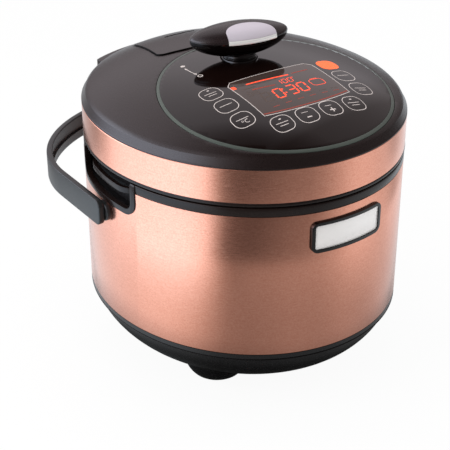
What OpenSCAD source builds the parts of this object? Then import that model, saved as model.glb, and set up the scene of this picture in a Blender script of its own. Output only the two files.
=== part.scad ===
/* [Body] */
// Full width of the oval body
body_w = 268; // [256:1:290]
// Full depth of the oval body, front to back
body_d = 292.6; // [280:0.1:320]
// Height of the underside of the base above the table
base_z = 12; // [10:0.5:16]
// Height of the black base bowl
base_h = 53; // [46:1:62]
// Wall of the base bowl
base_t = 2.6; // [2:0.1:4]
// Share of the outline by which the bowl draws in at its bottom
base_draw = 0.53; // [0.45:0.01:0.58]
// Height of the copper body shell
shell_h = 128; // [120:1:140]
// Sheet thickness of the body shell and of the lid band
sheet_t = 1.2; // [0.8:0.1:2]
// Height of the collar above the body shell
collar_h = 7.5; // [6:0.5:12]
// Thickness of the collar wall behind the sheet
collar_t = 4; // [3:0.5:6]
// Thickness of the deck between the collar and the locking ring
deck_t = 2.5; // [2:0.1:4]

/* [Lid] */
// Open seam between the collar and the lid
seam_gap = 1.5; // [1:0.1:3]
// Height of the lip at the lower edge of the lid
lip_h = 2.7; // [2:0.1:4]
// Height of the copper lid band
band_h = 28.5; // [24:0.5:36]
// Straight part of the lid cover above the band
rim_h = 2; // [1:0.5:4]
// Width of the bevel round the lid cover
bevel_w = 7; // [5:0.5:10]
// Height of the bevel round the lid cover
bevel_h = 8.5; // [6:0.5:12]
// Rise of the dome above the bevel
dome_h = 24.5; // [18:0.5:30]
// Wall of the lid cover and of the control panel
cover_t = 2.5; // [2:0.1:4]
// Width of the control panel as a share of the body's
panel_wide = 0.74; // [0.68:0.01:0.77]
// Depth of the control panel as a share of the body's
panel_long = 0.638; // [0.6:0.001:0.64]
// Place of the control panel's centre, as a share of the body's half depth
panel_at = 0.323; // [0.31:0.001:0.34]
// Width of the ring round the control panel
ring_w = 3; // [2:0.5:5]
// Width of the steam cover at its front, as a share of the body's
steam_wide = 0.369; // [0.34:0.001:0.39]
// Width of the steam cover at its rear, as a share of its width at the front
steam_taper = 0.78; // [0.7:0.01:0.9]
// Depth of the steam cover as a share of the body's half depth
steam_long = 0.4785; // [0.46:0.0005:0.49]
// Rise of the steam cover above the dome
steam_up = 1.2; // [0:0.1:2]

/* [Knob and lock] */
// Length of the knob
knob_l = 88; // [80:1:100]
// Width of the knob
knob_w = 42.5; // [38:0.5:50]
// Height of the knob's upper half
knob_up = 10.5; // [8:0.5:13]
// Depth of the knob's lower half
knob_down = 17; // [14:0.5:20]
// Gap between the top of the lid and the underside of the knob
knob_gap = 1.9; // [1.5:0.1:6]
// Angle of the knob at rest, about the vertical
knob_turn = -12.5; // [-18:0.5:-8]
// Radius of the knob's neck
neck_r = 15; // [12:0.5:18]
// Radius of the lock shaft
shaft_r = 8; // [6:0.5:10]
// Number of lugs round the lock
lug_n = 6; // [5:1:8]
// Width of each lug of the lock plate, in degrees
lug_deg = 26; // [18:1:27]
// Height of the sheet of the lock plate
lock_t = 3; // [2:0.5:4]

/* [Bail] */
// Height of the bail's band
bail_h = 23; // [18:1:28]
// Thickness of the bail's band
bail_t = 5.5; // [5:0.5:8]
// Length of the bail's arms in front of their pivots
bail_tip = 5.6; // [5.2:0.1:8]
// Gap between the body and the bail's arms
bail_gap = 3.5; // [2:0.5:4]
// Reach of the bail behind the rear of the body
bail_out = 41.7; // [38:0.1:50]
// End of the bail's straight arms, as a share of the body's half depth
bail_side = 0.48; // [0.45:0.01:0.54]
// Distance of the pivots behind the body's centre
pivot_y = 7.6; // [4:0.1:10]
// Distance of the pivots below the top of the body shell
pivot_drop = 32; // [30:1:40]
// Radius of the pivot studs
stud_r = 4; // [3:0.5:4.5]

/* [Pockets and badge] */
// Length of the side pockets, over their frames
pocket_l = 94; // [80:1:100]
// Distance of the pockets' middle behind the body's centre
pocket_y = 11; // [6:0.5:12]
// Depth of the pocket frames below the top of the body shell
pocket_drop = 22; // [19:0.5:22.5]
// Stand-off of the pocket frames from the body shell
pocket_out = 1; // [0.4:0.1:1.4]
// Width of the pocket frames' rims
pocket_rim = 5; // [3:0.5:7]
// Corner radius of the pocket frames
pocket_r = 12; // [8:1:16]
// Width of the badge frame
badge_w = 70; // [56:1:90]
// Height of the badge frame
badge_h = 27; // [20:1:34]
// Width of the badge frame's rim
badge_rim = 3.5; // [2:0.5:5]
// Distance of the badge's centre below the top of the body shell
badge_drop = 21.5; // [20:0.5:28]
// Stand-off of the badge frame from the body shell
badge_out = 3; // [2:0.5:5]

/* [Pot] */
// Distance of the pot's and the knob's axis behind the body's centre
axis_y = 5.5; // [3:0.5:7]
// Room between the sides of the body's outline and the locking ring
ring_room = 13; // [12:0.5:14]
// Room between the rear of the body's outline and the locking ring
rear_room = 19.8; // [19.8:0.1:26]
// Room between the locking ring's outside and the rim of the inner pot
pot_room = 14; // [13:0.5:16]
// Width of the inner pot's rim beyond its wall
pot_lip = 6; // [4:0.5:8]
// Wall of the inner pot
pot_t = 1.8; // [1.2:0.1:3]
// Height of the heating plate's top above the base's underside
plate_z = 34; // [30:1:38]

/* [Feet] */
// Radius of each foot's dome
foot_r = 26; // [22:0.5:28]
// Place of the feet to the sides, as a share of the body's half width
foot_side = 0.467; // [0.45:0.001:0.5]
// Place of the front feet, as a share of the body's half depth
foot_front = 0.357; // [0.34:0.001:0.42]
// Place of the rear feet, as a share of the body's half depth
foot_rear = 0.48; // [0.44:0.01:0.5]

/* [Hidden] */
a = body_w / 2;
b = body_d / 2;
seg = 72;
gap = 0.3;
run = 0.05;
// sizes that keep their share of the body
panel_rx = a * panel_wide;
panel_ry = b * panel_long;
panel_y = b * panel_at;
steam_x = a * steam_wide;
steam_room = 0.9;
steam_y = panel_ry - panel_y + steam_room;
steam_d = b * steam_long;
bail_reach = b + bail_out;
bail_straight = b * bail_side;
foot_x = a * foot_side;
ring_r = min(a - ring_room, b - axis_y - rear_room);
pot_rim_r = ring_r - pot_room;
pot_r = pot_rim_r - pot_lip;
// levels, from the table up
shell_z = base_z + base_h;
collar_z = shell_z + shell_h;
collar_top = collar_z + collar_h;
lip_z = collar_top + seam_gap;
band_z = lip_z + lip_h;
cover_z = band_z + band_h;
dome_z = cover_z + rim_h + bevel_h;
dome_top = dome_z + dome_h;
knob_z = dome_top + knob_gap + knob_down;
// base bowl: it tucks in behind the shell by base_tuck
base_tuck = 8;
base_rise = base_h + base_tuck;
base_step = 5;
cover_plate_t = 2.5;
// dome: the bevel's inner edge and the exponent of the surface
dome_ax = a - bevel_w;
dome_ay = b - bevel_w;
dome_p = 3;
neck_hole_r = neck_r + 1;
core_r = neck_hole_r - axis_y - 1;
// rounded corner between the pot's floor and its wall
pot_corner = 8;
// locking ring, locking plate and pot mouth
ring_t = 4;
ring_in = ring_r - ring_t;
vessel_t = 1.5;
vessel_gap = 3;
vessel_r = pot_r + vessel_gap;
rim_t = 2.5;
rim_z = collar_z - 6;
vessel_top = rim_z + 1;
ledge_z = rim_z - rim_t;
mouth_r = pot_rim_r + 0.5;
ring_top = rim_z + 12;
lug_t = 3;
lug_in = ring_r - 11.5;
lock_lug_r = ring_in - 1.7;
lock_disc_r = lug_in - 1.2;
seal_t = 3.2;
lock_z = rim_z + gap + seal_t + 0.5;
ring_lug_deg = 360 / lug_n - lug_deg - 6;
// heating plate and parts under it
plate_top = base_z + plate_z;
plate_t = 7;
plate_r = pot_r - 1;
plate_foot = 5;
plate_foot_w = 6;
plate_under = plate_top - plate_t;
vessel_z = plate_under - plate_foot - vessel_t;
element_r = 66;
element_t = 4.5;
lead_x = 12;
lead_r = 2.5;
lead_l = 8;
sensor_r = 14;
sensor_travel = 1.5;
bracket_t = 1.5;
bracket_h = 14;
spring_r = 9.5;
spring_wire = 0.6;
spring_turns = 3;
fuse_at = (sensor_r + element_r) * 0.36;
fuse_l = 16;
fuse_w = 7;
fuse_h = 4;
board_x = 42;
board_y = 40;
board_t = 1.6;
board_z = base_z + 8;
post_in = 6;
post_r = 3;
screw_r = 1.5;
screw_l = 7;
// rubber pads under the domes of the feet
pad_h = 3;
pad_r = sqrt(pow(foot_r, 2) - pow(foot_r - pad_h, 2));
foot_base_r = sqrt(pow(foot_r, 2) - pow(foot_r - base_z, 2));
// inlay of the knob: an arch over its front edge, a little to one side
inlay_w = 44.8;
inlay_d = 12.8;
inlay_x = 5.5;
inlay_y = -14;
// hinge, behind the lid
hinge_out = 6.7;
lid_clear = 0.8;
hinge_y = b + hinge_out;
hinge_z = lip_z + 7;
knuckle_r = 5;
hinge_pin_r = 2.5;
arm_x = 29.5;
ear_w = 16;
ear_drop = 24;
hinge_cover_x = 62;
hinge_cover_out = 11;
hinge_cover_t = 2;
hinge_cover_top = cover_z + rim_h;
// lid inside
well_r = ring_in + 2;
well_t = 2;
arm_start = axis_y + well_r + well_t + 2;
liner_top = lip_z + 12;
liner_t = 2;
frame_t = 3;
frame_z = liner_top;
tongue_x = arm_x + 10;
tongue_y = 60;
tongue_gap = 9;
clip_t = 1.7;
clip_r = 12;
// steam valve and float valve, on a circle that stays valve_room inside the pot
valve_room = 15;
slot_r = pot_r - valve_room;
valve_x = 18;
valve_y = sqrt(pow(slot_r, 2) - pow(valve_x, 2));
valve_r = 6;
valve_bore = 2.2;
weight_h = 7;
float_r = 3;
float_wall = 2.4;
slot_deg = atan2(valve_y, valve_x);
slot_margin = 6;
lock_turn = 30;
steam_floor_z = frame_z + frame_t + 20;
// bail
pivot_z = collar_z - pivot_drop;
arm_in = a + bail_gap;
arm_out = arm_in + bail_t;
boss_r = 9;
stud_end = 2;
bail_corner = 4;
// badge and pockets
badge_z = collar_z - badge_drop;
pocket_z = collar_z - pocket_drop;
pocket_wall = 1.5;
pocket_back = 11;
grip_h = 5;
grip_t = 4;
grip_in = 1.6;
grip_bend = 14;
// heat shield round the vessel
shield_gap = 0.5;
shield_t = 0.6;
shield_r = mouth_r + vessel_t + shield_gap + shield_t;
// power inlet, between the heat shield and the rear of the base
inlet_w = 44;
inlet_h = 26;
inlet_z = base_z + 23;
inlet_y = b - 7;
inlet_room = 2.7;
inlet_d = inlet_y - axis_y - shield_r - inlet_room;
inlet_wall = 6;
socket_w = 27;
socket_h = 20;
socket_d = inlet_d - inlet_wall;
pin_w = 4;
pin_t = 2;
pin_sink = 3;
pin_l = socket_d - pin_sink;
// display under the control panel
lcd_w = a * 0.642;
lcd_d = b * 0.352;
lcd_y = b * 0.424;
lcd_t = 6;
lcd_tilt = 7.5;
lcd_drop = 4;
touch_w = a * 0.896;
touch_d = b * 0.492;
touch_y = 2;
touch_t = 1.6;
pillar_in = 8;

// ---- shared shapes ----

// Points of an oval with the given half width and half depth
function oval(rx, ry, n = seg) = [for (i = [0 : n - 1]) [rx * cos(360 * i / n), ry * sin(360 * i / n)]];

// Height of the lid's outer surface over the point x, y
function dome_at(x, y) =
    dome_z + dome_h * (1 - pow(min(1, norm([x / dome_ax, y / dome_ay])), dome_p));

// A closed profile of [half width, half depth, height] swept once round the oval
module oval_sweep(profile) {
    m = len(profile);
    points = [for (i = [0 : seg - 1]) for (p = profile)
        [p[0] * cos(360 * i / seg), p[1] * sin(360 * i / seg), p[2]]];
    faces = [for (i = [0 : seg - 1]) for (j = [0 : m - 1])
        let (i2 = (i + 1) % seg, j2 = (j + 1) % m)
        [i * m + j, i * m + j2, i2 * m + j2, i2 * m + j]];
    polyhedron(points, faces, convexity = 6);
}

// A wall that follows the body's outline, from inset to inset + t
module oval_wall(z, h, inset, t) {
    translate([0, 0, z])
        linear_extrude(h)
            difference() {
                polygon(oval(a - inset, b - inset));
                polygon(oval(a - inset - t, b - inset - t));
            }
}

// A flat plate of the body's outline with a round hole
module oval_deck(z, h, inset, hole_r) {
    translate([0, 0, z])
        difference() {
            linear_extrude(h) polygon(oval(a - inset, b - inset));
            translate([0, axis_y, -1]) cylinder(r = hole_r, h = h + 2, $fn = 96);
        }
}

// Moves what is drawn round the origin onto the axis of the pot and the knob
module on_axis() {
    translate([0, axis_y, 0]) children();
}

module tube(r_out, r_in, z, h) {
    translate([0, 0, z])
        difference() {
            cylinder(r = r_out, h = h, $fn = 96);
            translate([0, 0, -1]) cylinder(r = r_in, h = h + 2, $fn = 96);
        }
}

// Rounded rectangle as a polygon, centred on the origin
function round_rect(w, h, r, n = 6) = [for (c = [[1, 1, 0], [-1, 1, 90], [-1, -1, 180], [1, -1, 270]])
    for (k = [0 : n]) [c[0] * (w / 2 - r) + r * cos(c[2] + 90 * k / n),
                       c[1] * (h / 2 - r) + r * sin(c[2] + 90 * k / n)]];

// A prism along Y through the front of the body, drawn as width by height
module front_prism(w, h, r, z) {
    translate([0, 0, z])
        rotate([90, 0, 0])
            linear_extrude(b + 20) polygon(round_rect(w, h, r));
}

// A prism along X through the side given by its sign, open upwards past the collar
module side_prism(side, l, z, r, x0, x1) {
    top = collar_top + 10;
    translate([side > 0 ? x0 : -x1, pocket_y, (top + z) / 2])
        rotate([90, 0, 90])
            linear_extrude(x1 - x0) polygon(round_rect(l, top - z, r));
}

// A band of angles between two radii
function arc_band(r0, r1, from, to, n = 10) = concat(
    [for (k = [0 : n]) r1 * [cos(from + (to - from) * k / n), sin(from + (to - from) * k / n)]],
    [for (k = [n : -1 : 0]) r0 * [cos(from + (to - from) * k / n), sin(from + (to - from) * k / n)]]);

// ---- base ----

function bowl_at(phi, inset) = [
    a * (1 - base_draw * (1 - cos(phi))) - inset * cos(phi),
    b * (1 - base_draw * (1 - cos(phi))) - inset * cos(phi),
    base_z + base_rise * (1 - sin(phi)) + inset * sin(phi)];

bowl_phi = asin(base_tuck / base_rise);
bowl_n = 9;

module foot_places() {
    for (x = [-foot_x, foot_x])
        for (y = [-b * foot_front, b * foot_rear])
            translate([x, y, 0]) children();
}

// Outer curve of the bowl, from its bottom to its top
bowl_outer = [for (k = [bowl_n : -1 : 0]) bowl_at(bowl_phi + (90 - bowl_phi) * k / bowl_n, 0)];

module base_bowl() {
    inner = [for (k = [0 : bowl_n]) bowl_at(bowl_phi + (90 - bowl_phi) * k / bowl_n, base_t)];
    low_edge = [[bowl_outer[0][0] - base_t, bowl_outer[0][1] - base_t, base_z]];
    step_in = sheet_t + 0.1;
    step = [[a - step_in, b - step_in, shell_z],
            [a - step_in, b - step_in, shell_z + base_step],
            [a - step_in - 2, b - step_in - 2, shell_z + base_step]];
    color("#1c1a1b")
        difference() {
            oval_sweep(concat(bowl_outer, step, inner, low_edge));
            translate([-inlet_w / 2 - gap, inlet_y - inlet_d, inlet_z - gap])
                cube([inlet_w + 2 * gap, inlet_d + 20, inlet_h + 2 * gap]);
        }
}

// The bowl's outer shape, filled
module bowl_block() {
    m = len(bowl_outer);
    points = [for (p = bowl_outer) for (i = [0 : seg - 1])
        [p[0] * cos(360 * i / seg), p[1] * sin(360 * i / seg), p[2]]];
    walls = [for (j = [0 : m - 2]) for (i = [0 : seg - 1])
        let (i2 = (i + 1) % seg)
        [(j + 1) * seg + i, (j + 1) * seg + i2, j * seg + i2, j * seg + i]];
    bottom = [[for (i = [0 : seg - 1]) i]];
    top = [[for (i = [seg - 1 : -1 : 0]) (m - 1) * seg + i]];
    polyhedron(points, concat(walls, bottom, top), convexity = 4);
}

// Domes of the feet, cut to the curve of the bowl that they carry
module legs() {
    from = acos(1 - pad_h / foot_r);
    n = 7;
    curve = [for (k = [0 : n]) let (t = from + (90 - from) * k / n)
        [foot_r * sin(t), foot_r * (1 - cos(t))]];
    color("#1c1a1b")
        difference() {
            foot_places()
                rotate_extrude($fn = 72)
                    polygon(concat([[0, pad_h]], curve, [[foot_r, foot_r + 6], [0, foot_r + 6]]));
            bowl_block();
        }
}

bottom_rx = a * (1 - base_draw) + 1;
bottom_ry = b * (1 - base_draw) + 1;

module post_places(z) {
    for (x = [-1, 1])
        for (y = [-1, 1])
            translate([x * (board_x - post_in), y * (board_y - post_in), z]) children();
}

// Plate under the base with cooling slots, and the posts that carry the power board
module bottom_cover() {
    slot_pitch = 12;
    slot_w = 4;
    slot_l = 36;
    color("#222021")
        difference() {
            union() {
                translate([0, 0, base_z - cover_plate_t])
                    linear_extrude(cover_plate_t) polygon(oval(bottom_rx, bottom_ry));
                post_places(base_z) cylinder(r = post_r, h = board_z - base_z, $fn = 32);
            }
            foot_places() cylinder(r = foot_base_r + gap, h = base_z, $fn = 72);
            for (x = [-2.5 : 1 : 2.5])
                translate([x * slot_pitch - slot_w / 2, -slot_l / 2, base_z - cover_plate_t - 1])
                    cube([slot_w, slot_l, cover_plate_t + 2]);
            post_places(board_z - screw_l)
                cylinder(r = screw_r + 0.1, h = screw_l + 1, $fn = 24);
        }
}

module board_screws() {
    color("#8d8d90")
        post_places(board_z + board_t) {
            translate([0, 0, 0.5 - screw_l]) cylinder(r = screw_r, h = screw_l, $fn = 24);
            cylinder(r = 2 * screw_r, h = screw_r, $fn = 24);
        }
}

// Rubber pads with a domed edge under the legs
module feet() {
    edge = 1;
    color("#141314")
        foot_places()
            rotate_extrude($fn = 64)
                polygon(concat([[0, 0]], [for (k = [0 : 4])
                    [pad_r - edge + edge * sin(22.5 * k), edge * (1 - cos(22.5 * k))]],
                    [[pad_r, pad_h], [0, pad_h]]));
}

module power_board() {
    color("#2f6b3c")
        difference() {
            translate([-board_x, -board_y, board_z]) cube([2 * board_x, 2 * board_y, board_t]);
            post_places(board_z - 1) cylinder(r = screw_r + 0.1, h = board_t + 2, $fn = 24);
        }
}

// Relay, transformer, capacitor and terminals, each standing on the board
module board_components() {
    z = board_z + board_t;
    color("#3a3a3e") {
        translate([-32, -34, z]) cube([22, 16, 7.5]);
        translate([12, -32, z]) cube([20, 16, 7.5]);
        translate([-30, 12, z]) cube([12, 16, 7]);
        translate([28, 16, z]) cylinder(r = 6, h = 7.5, $fn = 32);
    }
}

module power_inlet() {
    color("#161516")
        difference() {
            translate([-inlet_w / 2, inlet_y - inlet_d, inlet_z]) cube([inlet_w, inlet_d, inlet_h]);
            translate([-socket_w / 2, inlet_y - socket_d, inlet_z + (inlet_h - socket_h) / 2])
                cube([socket_w, socket_d + 1, socket_h]);
        }
}

module inlet_pins() {
    mid = inlet_z + inlet_h / 2;
    color("#c9b27a")
        for (p = [[-7, -2], [7, -2], [0, 4]])
            translate([p[0] - pin_t / 2, inlet_y - socket_d, mid + p[1] - pin_w / 2])
                cube([pin_t, pin_l, pin_w]);
}

// ---- body ----

module shell_openings() {
    for (side = [-1, 1]) {
        side_prism(side, pocket_l, pocket_z, pocket_r, a - 40, a + 10);
        translate([side * (a - 6), pivot_y, pivot_z])
            rotate([0, 90, 0]) cylinder(r = boss_r, h = 30, center = true, $fn = 64);
    }
}

module body_shell() {
    color("#c98c73")
        difference() {
            oval_wall(shell_z, shell_h, 0, sheet_t);
            shell_openings();
        }
}

module collar() {
    skirt = 5;
    color("#3c3030") {
        difference() {
            union() {
                oval_wall(collar_z, collar_h, 0, collar_t);
                oval_wall(collar_z - skirt, skirt, sheet_t, collar_t - sheet_t);
            }
            for (side = [-1, 1])
                side_prism(side, pocket_l - 0.01, pocket_z, pocket_r, a - 40, a + 10);
        }
        difference() {
            oval_deck(collar_z, deck_t, collar_t - 0.5, ring_r + gap);
            for (side = [-1, 1])
                pocket_layer(side, pocket_wall, 0, pocket_back);
        }
        // rims of the side pockets
        for (side = [-1, 1])
            intersection() {
                oval_wall(pocket_z - 1, collar_top - pocket_z + 1, -pocket_out, collar_t + pocket_out);
                difference() {
                    side_prism(side, pocket_l - 0.01, pocket_z, pocket_r, a - 40, a + 10);
                    pocket_prism(side, 0, a - 50, a + 20);
                }
            }
    }
}

// The mouth of a pocket, grown by a wall
module pocket_prism(side, wall, x0, x1) {
    side_prism(side, pocket_l - 2 * pocket_rim + 2 * wall, pocket_z + pocket_rim - wall,
        pocket_r - pocket_rim + wall, x0, x1);
}

// The part of a pocket's mouth that lies between two insets of the outline
module pocket_layer(side, wall, from, to) {
    intersection() {
        pocket_prism(side, wall, a / 2, a + 10);
        oval_wall(pocket_z, collar_top - pocket_z, from, to - from);
    }
}

module pocket(side) {
    color("#0f0e0f")
        difference() {
            intersection() {
                pocket_layer(side, pocket_wall - 0.05, collar_t + gap, pocket_back);
                translate([-2 * a, -b, 0]) cube([4 * a, 2 * b, collar_z + deck_t]);
            }
            pocket_layer(side, 0, 0, pocket_back - pocket_wall);
        }
}

// Curved grip bar across the mouth of a pocket, bent in to the back of the pocket at both ends
module grip(side) {
    n = 16;
    top = collar_z - 1.5;
    half = pocket_l / 2 - pocket_rim - 7;
    room = pocket_back - pocket_wall - 0.1 - grip_in;
    function share(y, l, r) = max(0, (abs(y) - l + r) / r);
    function edge(y, l, r, from, deep) =
        let (inset = from + deep * (1 - sqrt(1 - pow(share(y, l, r), 2))))
        [side * (a - inset) * sqrt(1 - pow((y + pocket_y) / (b - inset), 2)), y + pocket_y];
    outer = [for (k = [-n : n]) edge(half * sin(90 * k / n), half, grip_bend, grip_in, room)];
    inner = [for (k = [n : -1 : -n]) edge((half - grip_t) * sin(90 * k / n), half - grip_t,
        grip_bend - grip_t, grip_in + grip_t, room - grip_t)];
    color("#4a3b3a")
        translate([0, 0, top - grip_h]) linear_extrude(grip_h) polygon(concat(outer, inner));
}

module badge_frame() {
    color("#3c3030")
        difference() {
            intersection() {
                oval_wall(badge_z - badge_h, 2 * badge_h, -badge_out, badge_out);
                front_prism(badge_w, badge_h, 4, badge_z);
            }
            front_prism(badge_w - 2 * badge_rim, badge_h - 2 * badge_rim, 2, badge_z);
        }
}

module badge_plate() {
    play = 0.2;
    color("#d8d6d8")
        intersection() {
            oval_wall(badge_z - badge_h, 2 * badge_h, 1 - badge_out, badge_out - 1);
            front_prism(badge_w - 2 * badge_rim - play, badge_h - 2 * badge_rim - play, 2 - play / 2,
                badge_z);
        }
}

// ---- pot, vessel and heater ----

// Steel vessel: floor for the heating plate, ledge for the pot's rim, flange for the ring
module vessel() {
    floor_r = plate_r - plate_foot_w - 4;
    color("#b9babd") on_axis()
        rotate_extrude($fn = 96)
            polygon([[floor_r, vessel_z], [vessel_r + vessel_t, vessel_z],
                [vessel_r + vessel_t, ledge_z - vessel_t], [mouth_r + vessel_t, ledge_z - vessel_t],
                [mouth_r + vessel_t, vessel_top - vessel_t], [ring_r, vessel_top - vessel_t],
                [ring_r, vessel_top], [mouth_r, vessel_top], [mouth_r, ledge_z],
                [vessel_r, ledge_z], [vessel_r, vessel_z + vessel_t], [floor_r, vessel_z + vessel_t]]);
}

// Ring with inward lugs, which the lock plate turns under
module locking_ring() {
    color("#a9aaad") on_axis() {
        tube(ring_r, ring_in, vessel_top, ring_top - vessel_top);
        for (k = [0 : lug_n - 1])
            translate([0, 0, ring_top - lug_t])
                linear_extrude(lug_t)
                    polygon(arc_band(lug_in, ring_in + 1, 360 * k / lug_n - ring_lug_deg / 2,
                        360 * k / lug_n + ring_lug_deg / 2));
    }
}

module heat_shield() {
    color("#c4c5c8") on_axis()
        tube(shield_r, shield_r - shield_t, vessel_z + 6, vessel_top - vessel_t - vessel_z - 6);
}

// Rounded corner of the pot with the given radius, listed upwards or downwards
function pot_bend(r, way) = [for (k = way > 0 ? [0 : 5] : [5 : -1 : 0])
    [pot_r - pot_corner + r * sin(18 * k), plate_top + pot_corner - r * cos(18 * k)]];

module inner_pot() {
    color("#4b4c50") on_axis()
        rotate_extrude($fn = 96)
            polygon(concat([[0, plate_top]], pot_bend(pot_corner, 1),
                [[pot_r, ledge_z], [pot_rim_r, ledge_z], [pot_rim_r, rim_z], [pot_r - pot_t, rim_z]],
                pot_bend(pot_corner - pot_t, -1), [[0, plate_top + pot_t]]));
}

module heating_plate() {
    color("#9fa0a3") on_axis()
        difference() {
            union() {
                translate([0, 0, plate_under]) cylinder(r = plate_r, h = plate_t, $fn = 96);
                tube(plate_r, plate_r - plate_foot_w, plate_under - plate_foot, plate_foot + 1);
            }
            translate([0, 0, plate_under - 1]) cylinder(r = sensor_r + gap, h = plate_t + 2, $fn = 64);
        }
}

module heating_element() {
    color("#77787b") on_axis() {
        translate([0, 0, plate_under - element_t])
            rotate_extrude($fn = 96) translate([element_r, 0]) circle(r = element_t, $fn = 32);
        for (x = [-1, 1])
            translate([x * lead_x, -sqrt(pow(element_r, 2) - pow(lead_x, 2)), vessel_z - lead_l])
                cylinder(r = lead_r, h = plate_under - vessel_z + lead_l - element_t, $fn = 24);
    }
}

module thermal_fuse() {
    color("#d9d4c8") on_axis()
        translate([fuse_at, fuse_at, plate_under - fuse_h]) cube([fuse_l, fuse_w, fuse_h]);
}

module sensor_bracket() {
    r = sensor_r + 2;
    color("#b9babd") on_axis() {
        tube(r + bracket_t, r, plate_under - bracket_h, bracket_h);
        tube(r + 0.5, 3, plate_under - bracket_h, bracket_t);
    }
}

// Sweep of a small round wire along a helix
module helix(r, wire, z0, z1, turns) {
    sides = 6;
    rings = turns * 14;
    points = [for (i = [0 : rings]) let (t = 360 * turns * i / rings, z = z0 + (z1 - z0) * i / rings)
        for (k = [0 : sides - 1]) [(r + wire * cos(60 * k)) * cos(t), (r + wire * cos(60 * k)) * sin(t),
            z + wire * sin(60 * k)]];
    walls = [for (i = [0 : rings - 1]) for (k = [0 : sides - 1])
        let (k2 = (k + 1) % sides)
        [i * sides + k, i * sides + k2, (i + 1) * sides + k2, (i + 1) * sides + k]];
    start = [[for (k = [sides - 1 : -1 : 0]) k]];
    finish = [[for (k = [0 : sides - 1]) rings * sides + k]];
    polyhedron(points, concat(walls, start, finish), convexity = 10);
}

spring_z = plate_under - bracket_h + bracket_t;
cap_low = spring_z + 8;

module sensor_spring() {
    color("#a0a1a4") on_axis()
        helix(spring_r, spring_wire, spring_z + spring_wire, cap_low - gap - spring_wire, spring_turns);
}

module sensor_cap() {
    color("#c7c8cb") on_axis()
        translate([0, 0, cap_low]) cylinder(r = sensor_r, h = plate_top - gap - cap_low, $fn = 64);
}

// ---- hinge ----

module hinge_base() {
    x0 = arm_x + gap;
    color("#2a2223")
        difference() {
            union() {
                for (side = [-1, 1])
                    translate([side > 0 ? x0 : -x0 - ear_w, 0, 0]) {
                        translate([0, b - 14, hinge_z - knuckle_r - ear_drop])
                            cube([ear_w, hinge_out + 14 + knuckle_r, ear_drop]);
                        translate([0, hinge_y - knuckle_r, hinge_z - knuckle_r])
                            cube([ear_w, 2 * knuckle_r, knuckle_r]);
                        translate([0, hinge_y, hinge_z])
                            rotate([0, 90, 0]) cylinder(r = knuckle_r, h = ear_w, $fn = 48);
                    }
                translate([-x0 - ear_w, b - 14, hinge_z - knuckle_r - ear_drop])
                    cube([2 * (x0 + ear_w), 14 + 5, ear_drop - 4]);
            }
            translate([0, 0, base_z]) linear_extrude(dome_top - base_z) polygon(oval(a, b));
            translate([0, 0, collar_top]) linear_extrude(40) polygon(oval(a + lid_clear, b + lid_clear));
            translate([-100, hinge_y, hinge_z])
                rotate([0, 90, 0]) cylinder(r = hinge_pin_r, h = 200, $fn = 48);
        }
}

module hinge_pin() {
    l = arm_x + gap + ear_w;
    color("#a6a6aa")
        translate([-l, hinge_y, hinge_z])
            rotate([0, 90, 0]) cylinder(r = hinge_pin_r, h = 2 * l, $fn = 48);
}

module hinge_arm() {
    color("#8e8f93")
        difference() {
            union() {
                translate([-arm_x, arm_start, hinge_z])
                    cube([2 * arm_x, hinge_y - arm_start, frame_z - hinge_z]);
                translate([-arm_x, hinge_y, hinge_z])
                    rotate([0, 90, 0]) cylinder(r = knuckle_r, h = 2 * arm_x, $fn = 48);
            }
            translate([-100, hinge_y, hinge_z])
                rotate([0, 90, 0]) cylinder(r = hinge_pin_r + run, h = 200, $fn = 48);
        }
}

module hinge_cover() {
    z = hinge_z + knuckle_r + 1;
    h = hinge_cover_top - z;
    color("#3c3030")
        difference() {
            intersection() {
                oval_wall(z, h, -hinge_cover_out, hinge_cover_out);
                translate([-hinge_cover_x, 0, z]) cube([2 * hinge_cover_x, 2 * b, h]);
            }
            intersection() {
                oval_wall(z - 1, h + 1 - hinge_cover_t, hinge_cover_t - hinge_cover_out, hinge_cover_out);
                translate([hinge_cover_t - hinge_cover_x, 0, z - 1])
                    cube([2 * (hinge_cover_x - hinge_cover_t), 2 * b, h + 1 - hinge_cover_t]);
            }
        }
}

// ---- bail ----

module bail_boss(side) {
    x_in = a - 6;
    color("#1a191a")
        translate([side * (x_in + (arm_in - gap - x_in) / 2), pivot_y, pivot_z])
            rotate([0, 90, 0])
                union() {
                    cylinder(r = boss_r, h = arm_in - gap - x_in, center = true, $fn = 64);
                    mirror([0, 0, side > 0 ? 0 : 1])
                        cylinder(r = stud_r, h = (arm_in - gap - x_in) / 2 + bail_t - stud_end, $fn = 48);
                }
}

bow_n = 36;
bow_out = bail_reach - bail_straight;

// Outer and inner points of the bail's bow, counted from the right arm
function bow_outer(k) = [arm_out * cos(180 * k / bow_n), bail_straight + bow_out * sin(180 * k / bow_n)];
function bow_inner(k) =
    [arm_in * cos(180 * k / bow_n), bail_straight + (bow_out - bail_t) * sin(180 * k / bow_n)];

// Bow of the bail, between its two arms
module bail() {
    outer = [for (k = [1 : bow_n - 1]) bow_outer(k)];
    inner = [for (k = [bow_n - 1 : -1 : 1]) bow_inner(k)];
    color("#232425")
        translate([0, 0, pivot_z - bail_h / 2])
            linear_extrude(bail_h) polygon(concat(outer, inner));
}

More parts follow.
